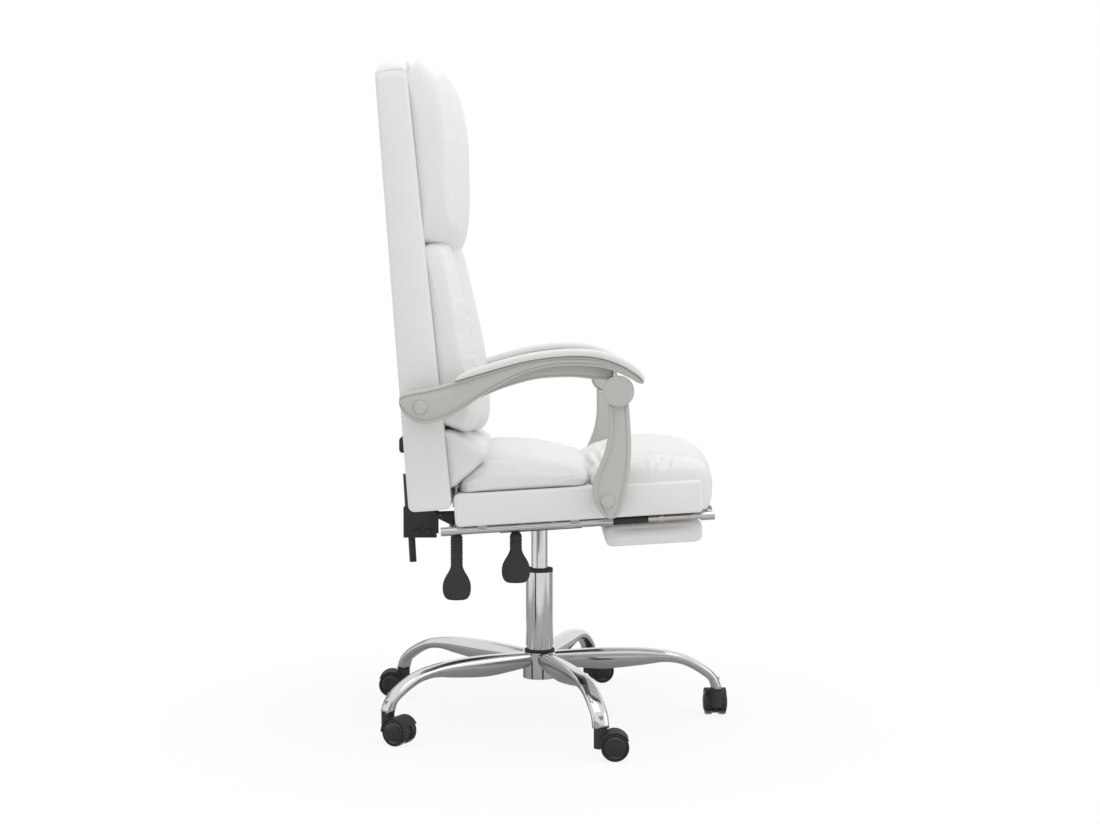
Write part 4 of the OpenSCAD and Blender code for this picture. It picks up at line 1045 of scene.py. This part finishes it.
def build_studio():
    """Camera, floor, sheets that only polished surfaces see, which paint dark and grey reflections
    into the chrome, surround and two softboxes.
    """
    settings = bpy.context.scene.chair_studio
    bpy.context.scene.view_settings.view_transform = "Standard"
    place_camera()
    flat_sheet("studio_floor", [(-9, -9, 0), (9, -9, 0), (9, 9, 0), (-9, 9, 0)], floor_paint())
    # Painted reflections: sheets hidden from the camera, from diffuse light and from shadows paint
    # dark and grey streaks into the chrome.
    dark = reflection_paint("painted_reflection_dark", 0.06)
    grey = reflection_paint("painted_reflection_grey", 0.5)
    cards = [
        upright_reflection("painted_reflection_near", (-2.4, -2.2), (-2.4, 3.6), 0.02, 1.1, grey),
        upright_reflection("painted_reflection_stripe", (-0.86, 0.46), (-0.76, 0.62), 0.0, 0.5, dark),
        upright_reflection("painted_reflection_front", (0.0, -1.15), (0.85, -0.8), 0.0, 0.6, grey),
        upright_reflection("painted_reflection_rear", (0.3, 1.1), (1.1, 0.3), 0.0, 0.6, grey),
        # This sheet just above the floor paints a darker reflection into the undersides of the
        # legs, rods and rails.
        flat_sheet("painted_reflection_low", [
            (-1.1, -1.3, 0.01), (0.7, -1.3, 0.01), (0.7, 1.3, 0.01), (-1.1, 1.3, 0.01),
        ], grey),
    ]
    # Hidden from camera, diffuse light, shadows and glass, these sheets are painted reflections.
    for card in cards:
        card.visible_camera = card.visible_diffuse = False
        card.visible_shadow = card.visible_transmission = False
    studio_world(settings.surround)
    lamp("overhead_softbox", (-0.7, -0.3, 3.0), (0, 0, 0.4), (1.8, 1.8), settings.overhead)
    lamp("front_softbox", (-1.2, -3.0, 1.8), (0, 0, 0.6), (2.0, 2.0), settings.front)


# ---------------------------------------------------------------- settings


COLOUR = {"subtype": "COLOR", "size": 3, "min": 0, "max": 1}


class ChairCoverSettings(bpy.types.PropertyGroup):
    """Looks of the upholstery."""

    colour: bpy.props.FloatVectorProperty(
        name="Cover Colour", description="Colour of the faux leather", default=(0.83, 0.83, 0.82),
        **COLOUR,
    )
    swell: bpy.props.FloatProperty(
        name="Swell", description="How hard the filling presses the covers out", default=4.0,
        min=0, max=10,
    )


class ChairTrimSettings(bpy.types.PropertyGroup):
    """Looks of the plastic and the metal."""

    arm_colour: bpy.props.FloatVectorProperty(
        name="Armrest Colour", description="Colour of the armrest plastic",
        default=(0.53, 0.53, 0.505), **COLOUR,
    )
    chrome_colour: bpy.props.FloatVectorProperty(
        name="Chrome Colour", description="Reflected colour of the plated steel",
        default=(0.68, 0.68, 0.69), **COLOUR,
    )


class ChairStudioSettings(bpy.types.PropertyGroup):
    """Light of the stage."""

    surround: bpy.props.FloatProperty(
        name="Surround", description="Strength of the even light from all sides", default=0.76,
        min=0, max=2,
    )
    overhead: bpy.props.FloatProperty(
        name="Overhead", description="Power of the overhead softbox", default=23.0,
        min=0, max=500, unit="POWER",
    )
    front: bpy.props.FloatProperty(
        name="Front", description="Power of the softbox before the chair", default=8.0,
        min=0, max=500, unit="POWER",
    )


# ---------------------------------------------------------------- operators


class CHAIR_OT_star_base(bpy.types.Operator):
    """Sweep the five chromed legs"""

    bl_idname = "chair.star_base"
    bl_label = "Star Base"

    def execute(self, context):
        build_legs()
        build_seal()
        return {"FINISHED"}


class CHAIR_OT_casters(bpy.types.Operator):
    """Turn the twin wheels of the five casters"""

    bl_idname = "chair.casters"
    bl_label = "Casters"

    def execute(self, context):
        for k in range(5):
            build_caster(k)
        return {"FINISHED"}


class CHAIR_OT_metalwork(bpy.types.Operator):
    """Shape the lever grips and the spring's cheeks, and finish the solids that stay"""

    bl_idname = "chair.metalwork"
    bl_label = "Metalwork and Levers"

    def execute(self, context):
        finish_nodes()
        build_cheeks()
        build_grip("height_grip", "height_lever_handle", "height_lever", -42, 284.5, 341, 375.5)
        build_grip("recline_grip", "recline_lever_handle", "recline_lever", -145, 254.5, 312, 372.5)
        return {"FINISHED"}


class CHAIR_OT_seat(bpy.types.Operator):
    """Pad the seat and the footrest"""

    bl_idname = "chair.seat"
    bl_label = "Seat and Footrest"

    def execute(self, context):
        build_seat()
        return {"FINISHED"}


class CHAIR_OT_back(bpy.types.Operator):
    """Pad the back, the headrest and the lumbar roll"""

    bl_idname = "chair.back"
    bl_label = "Back"

    def execute(self, context):
        build_back()
        return {"FINISHED"}


class CHAIR_OT_armrests(bpy.types.Operator):
    """Shape both armrests"""

    bl_idname = "chair.armrests"
    bl_label = "Armrests"

    def execute(self, context):
        build_arm(-1, "right")
        build_arm(1, "left")
        return {"FINISHED"}


class CHAIR_OT_studio(bpy.types.Operator):
    """Set the floor, the lamps and the camera"""

    bl_idname = "chair.studio"
    bl_label = "Studio"

    def execute(self, context):
        build_studio()
        return {"FINISHED"}


OPERATORS = (
    CHAIR_OT_studio, CHAIR_OT_metalwork, CHAIR_OT_star_base, CHAIR_OT_casters,
    CHAIR_OT_armrests, CHAIR_OT_back, CHAIR_OT_seat,
)


class CHAIR_PT_sidebar(bpy.types.Panel):
    """Steps and settings of the chair."""

    bl_idname = "CHAIR_PT_sidebar"
    bl_label = "Reclining Office Chair"
    bl_space_type = "VIEW_3D"
    bl_region_type = "UI"
    bl_category = "Chair"

    def draw(self, context):
        scene = context.scene
        for group, names in (
            (scene.chair_cover, ("colour", "swell")),
            (scene.chair_trim, ("arm_colour", "chrome_colour")),
            (scene.chair_studio, ("surround", "overhead", "front")),
        ):
            for name in names:
                self.layout.prop(group, name)
        for operator in OPERATORS:
            self.layout.operator(operator.bl_idname)


GROUPS = (
    ("chair_cover", ChairCoverSettings),
    ("chair_trim", ChairTrimSettings),
    ("chair_studio", ChairStudioSettings),
)


def register():
    for name, group in GROUPS:
        bpy.utils.register_class(group)
        setattr(bpy.types.Scene, name, bpy.props.PointerProperty(type=group))
    for operator in OPERATORS:
        bpy.utils.register_class(operator)
    bpy.utils.register_class(CHAIR_PT_sidebar)


def unregister():
    bpy.utils.unregister_class(CHAIR_PT_sidebar)
    for operator in reversed(OPERATORS):
        bpy.utils.unregister_class(operator)
    for name, group in reversed(GROUPS):
        delattr(bpy.types.Scene, name)
        bpy.utils.unregister_class(group)


def main():
    """Build the whole chair."""
    register()
    bpy.ops.chair.studio()
    bpy.ops.chair.metalwork()
    bpy.ops.chair.star_base()
    bpy.ops.chair.casters()
    bpy.ops.chair.armrests()
    bpy.ops.chair.back()
    bpy.ops.chair.seat()


if __name__ == "__main__":
    main()
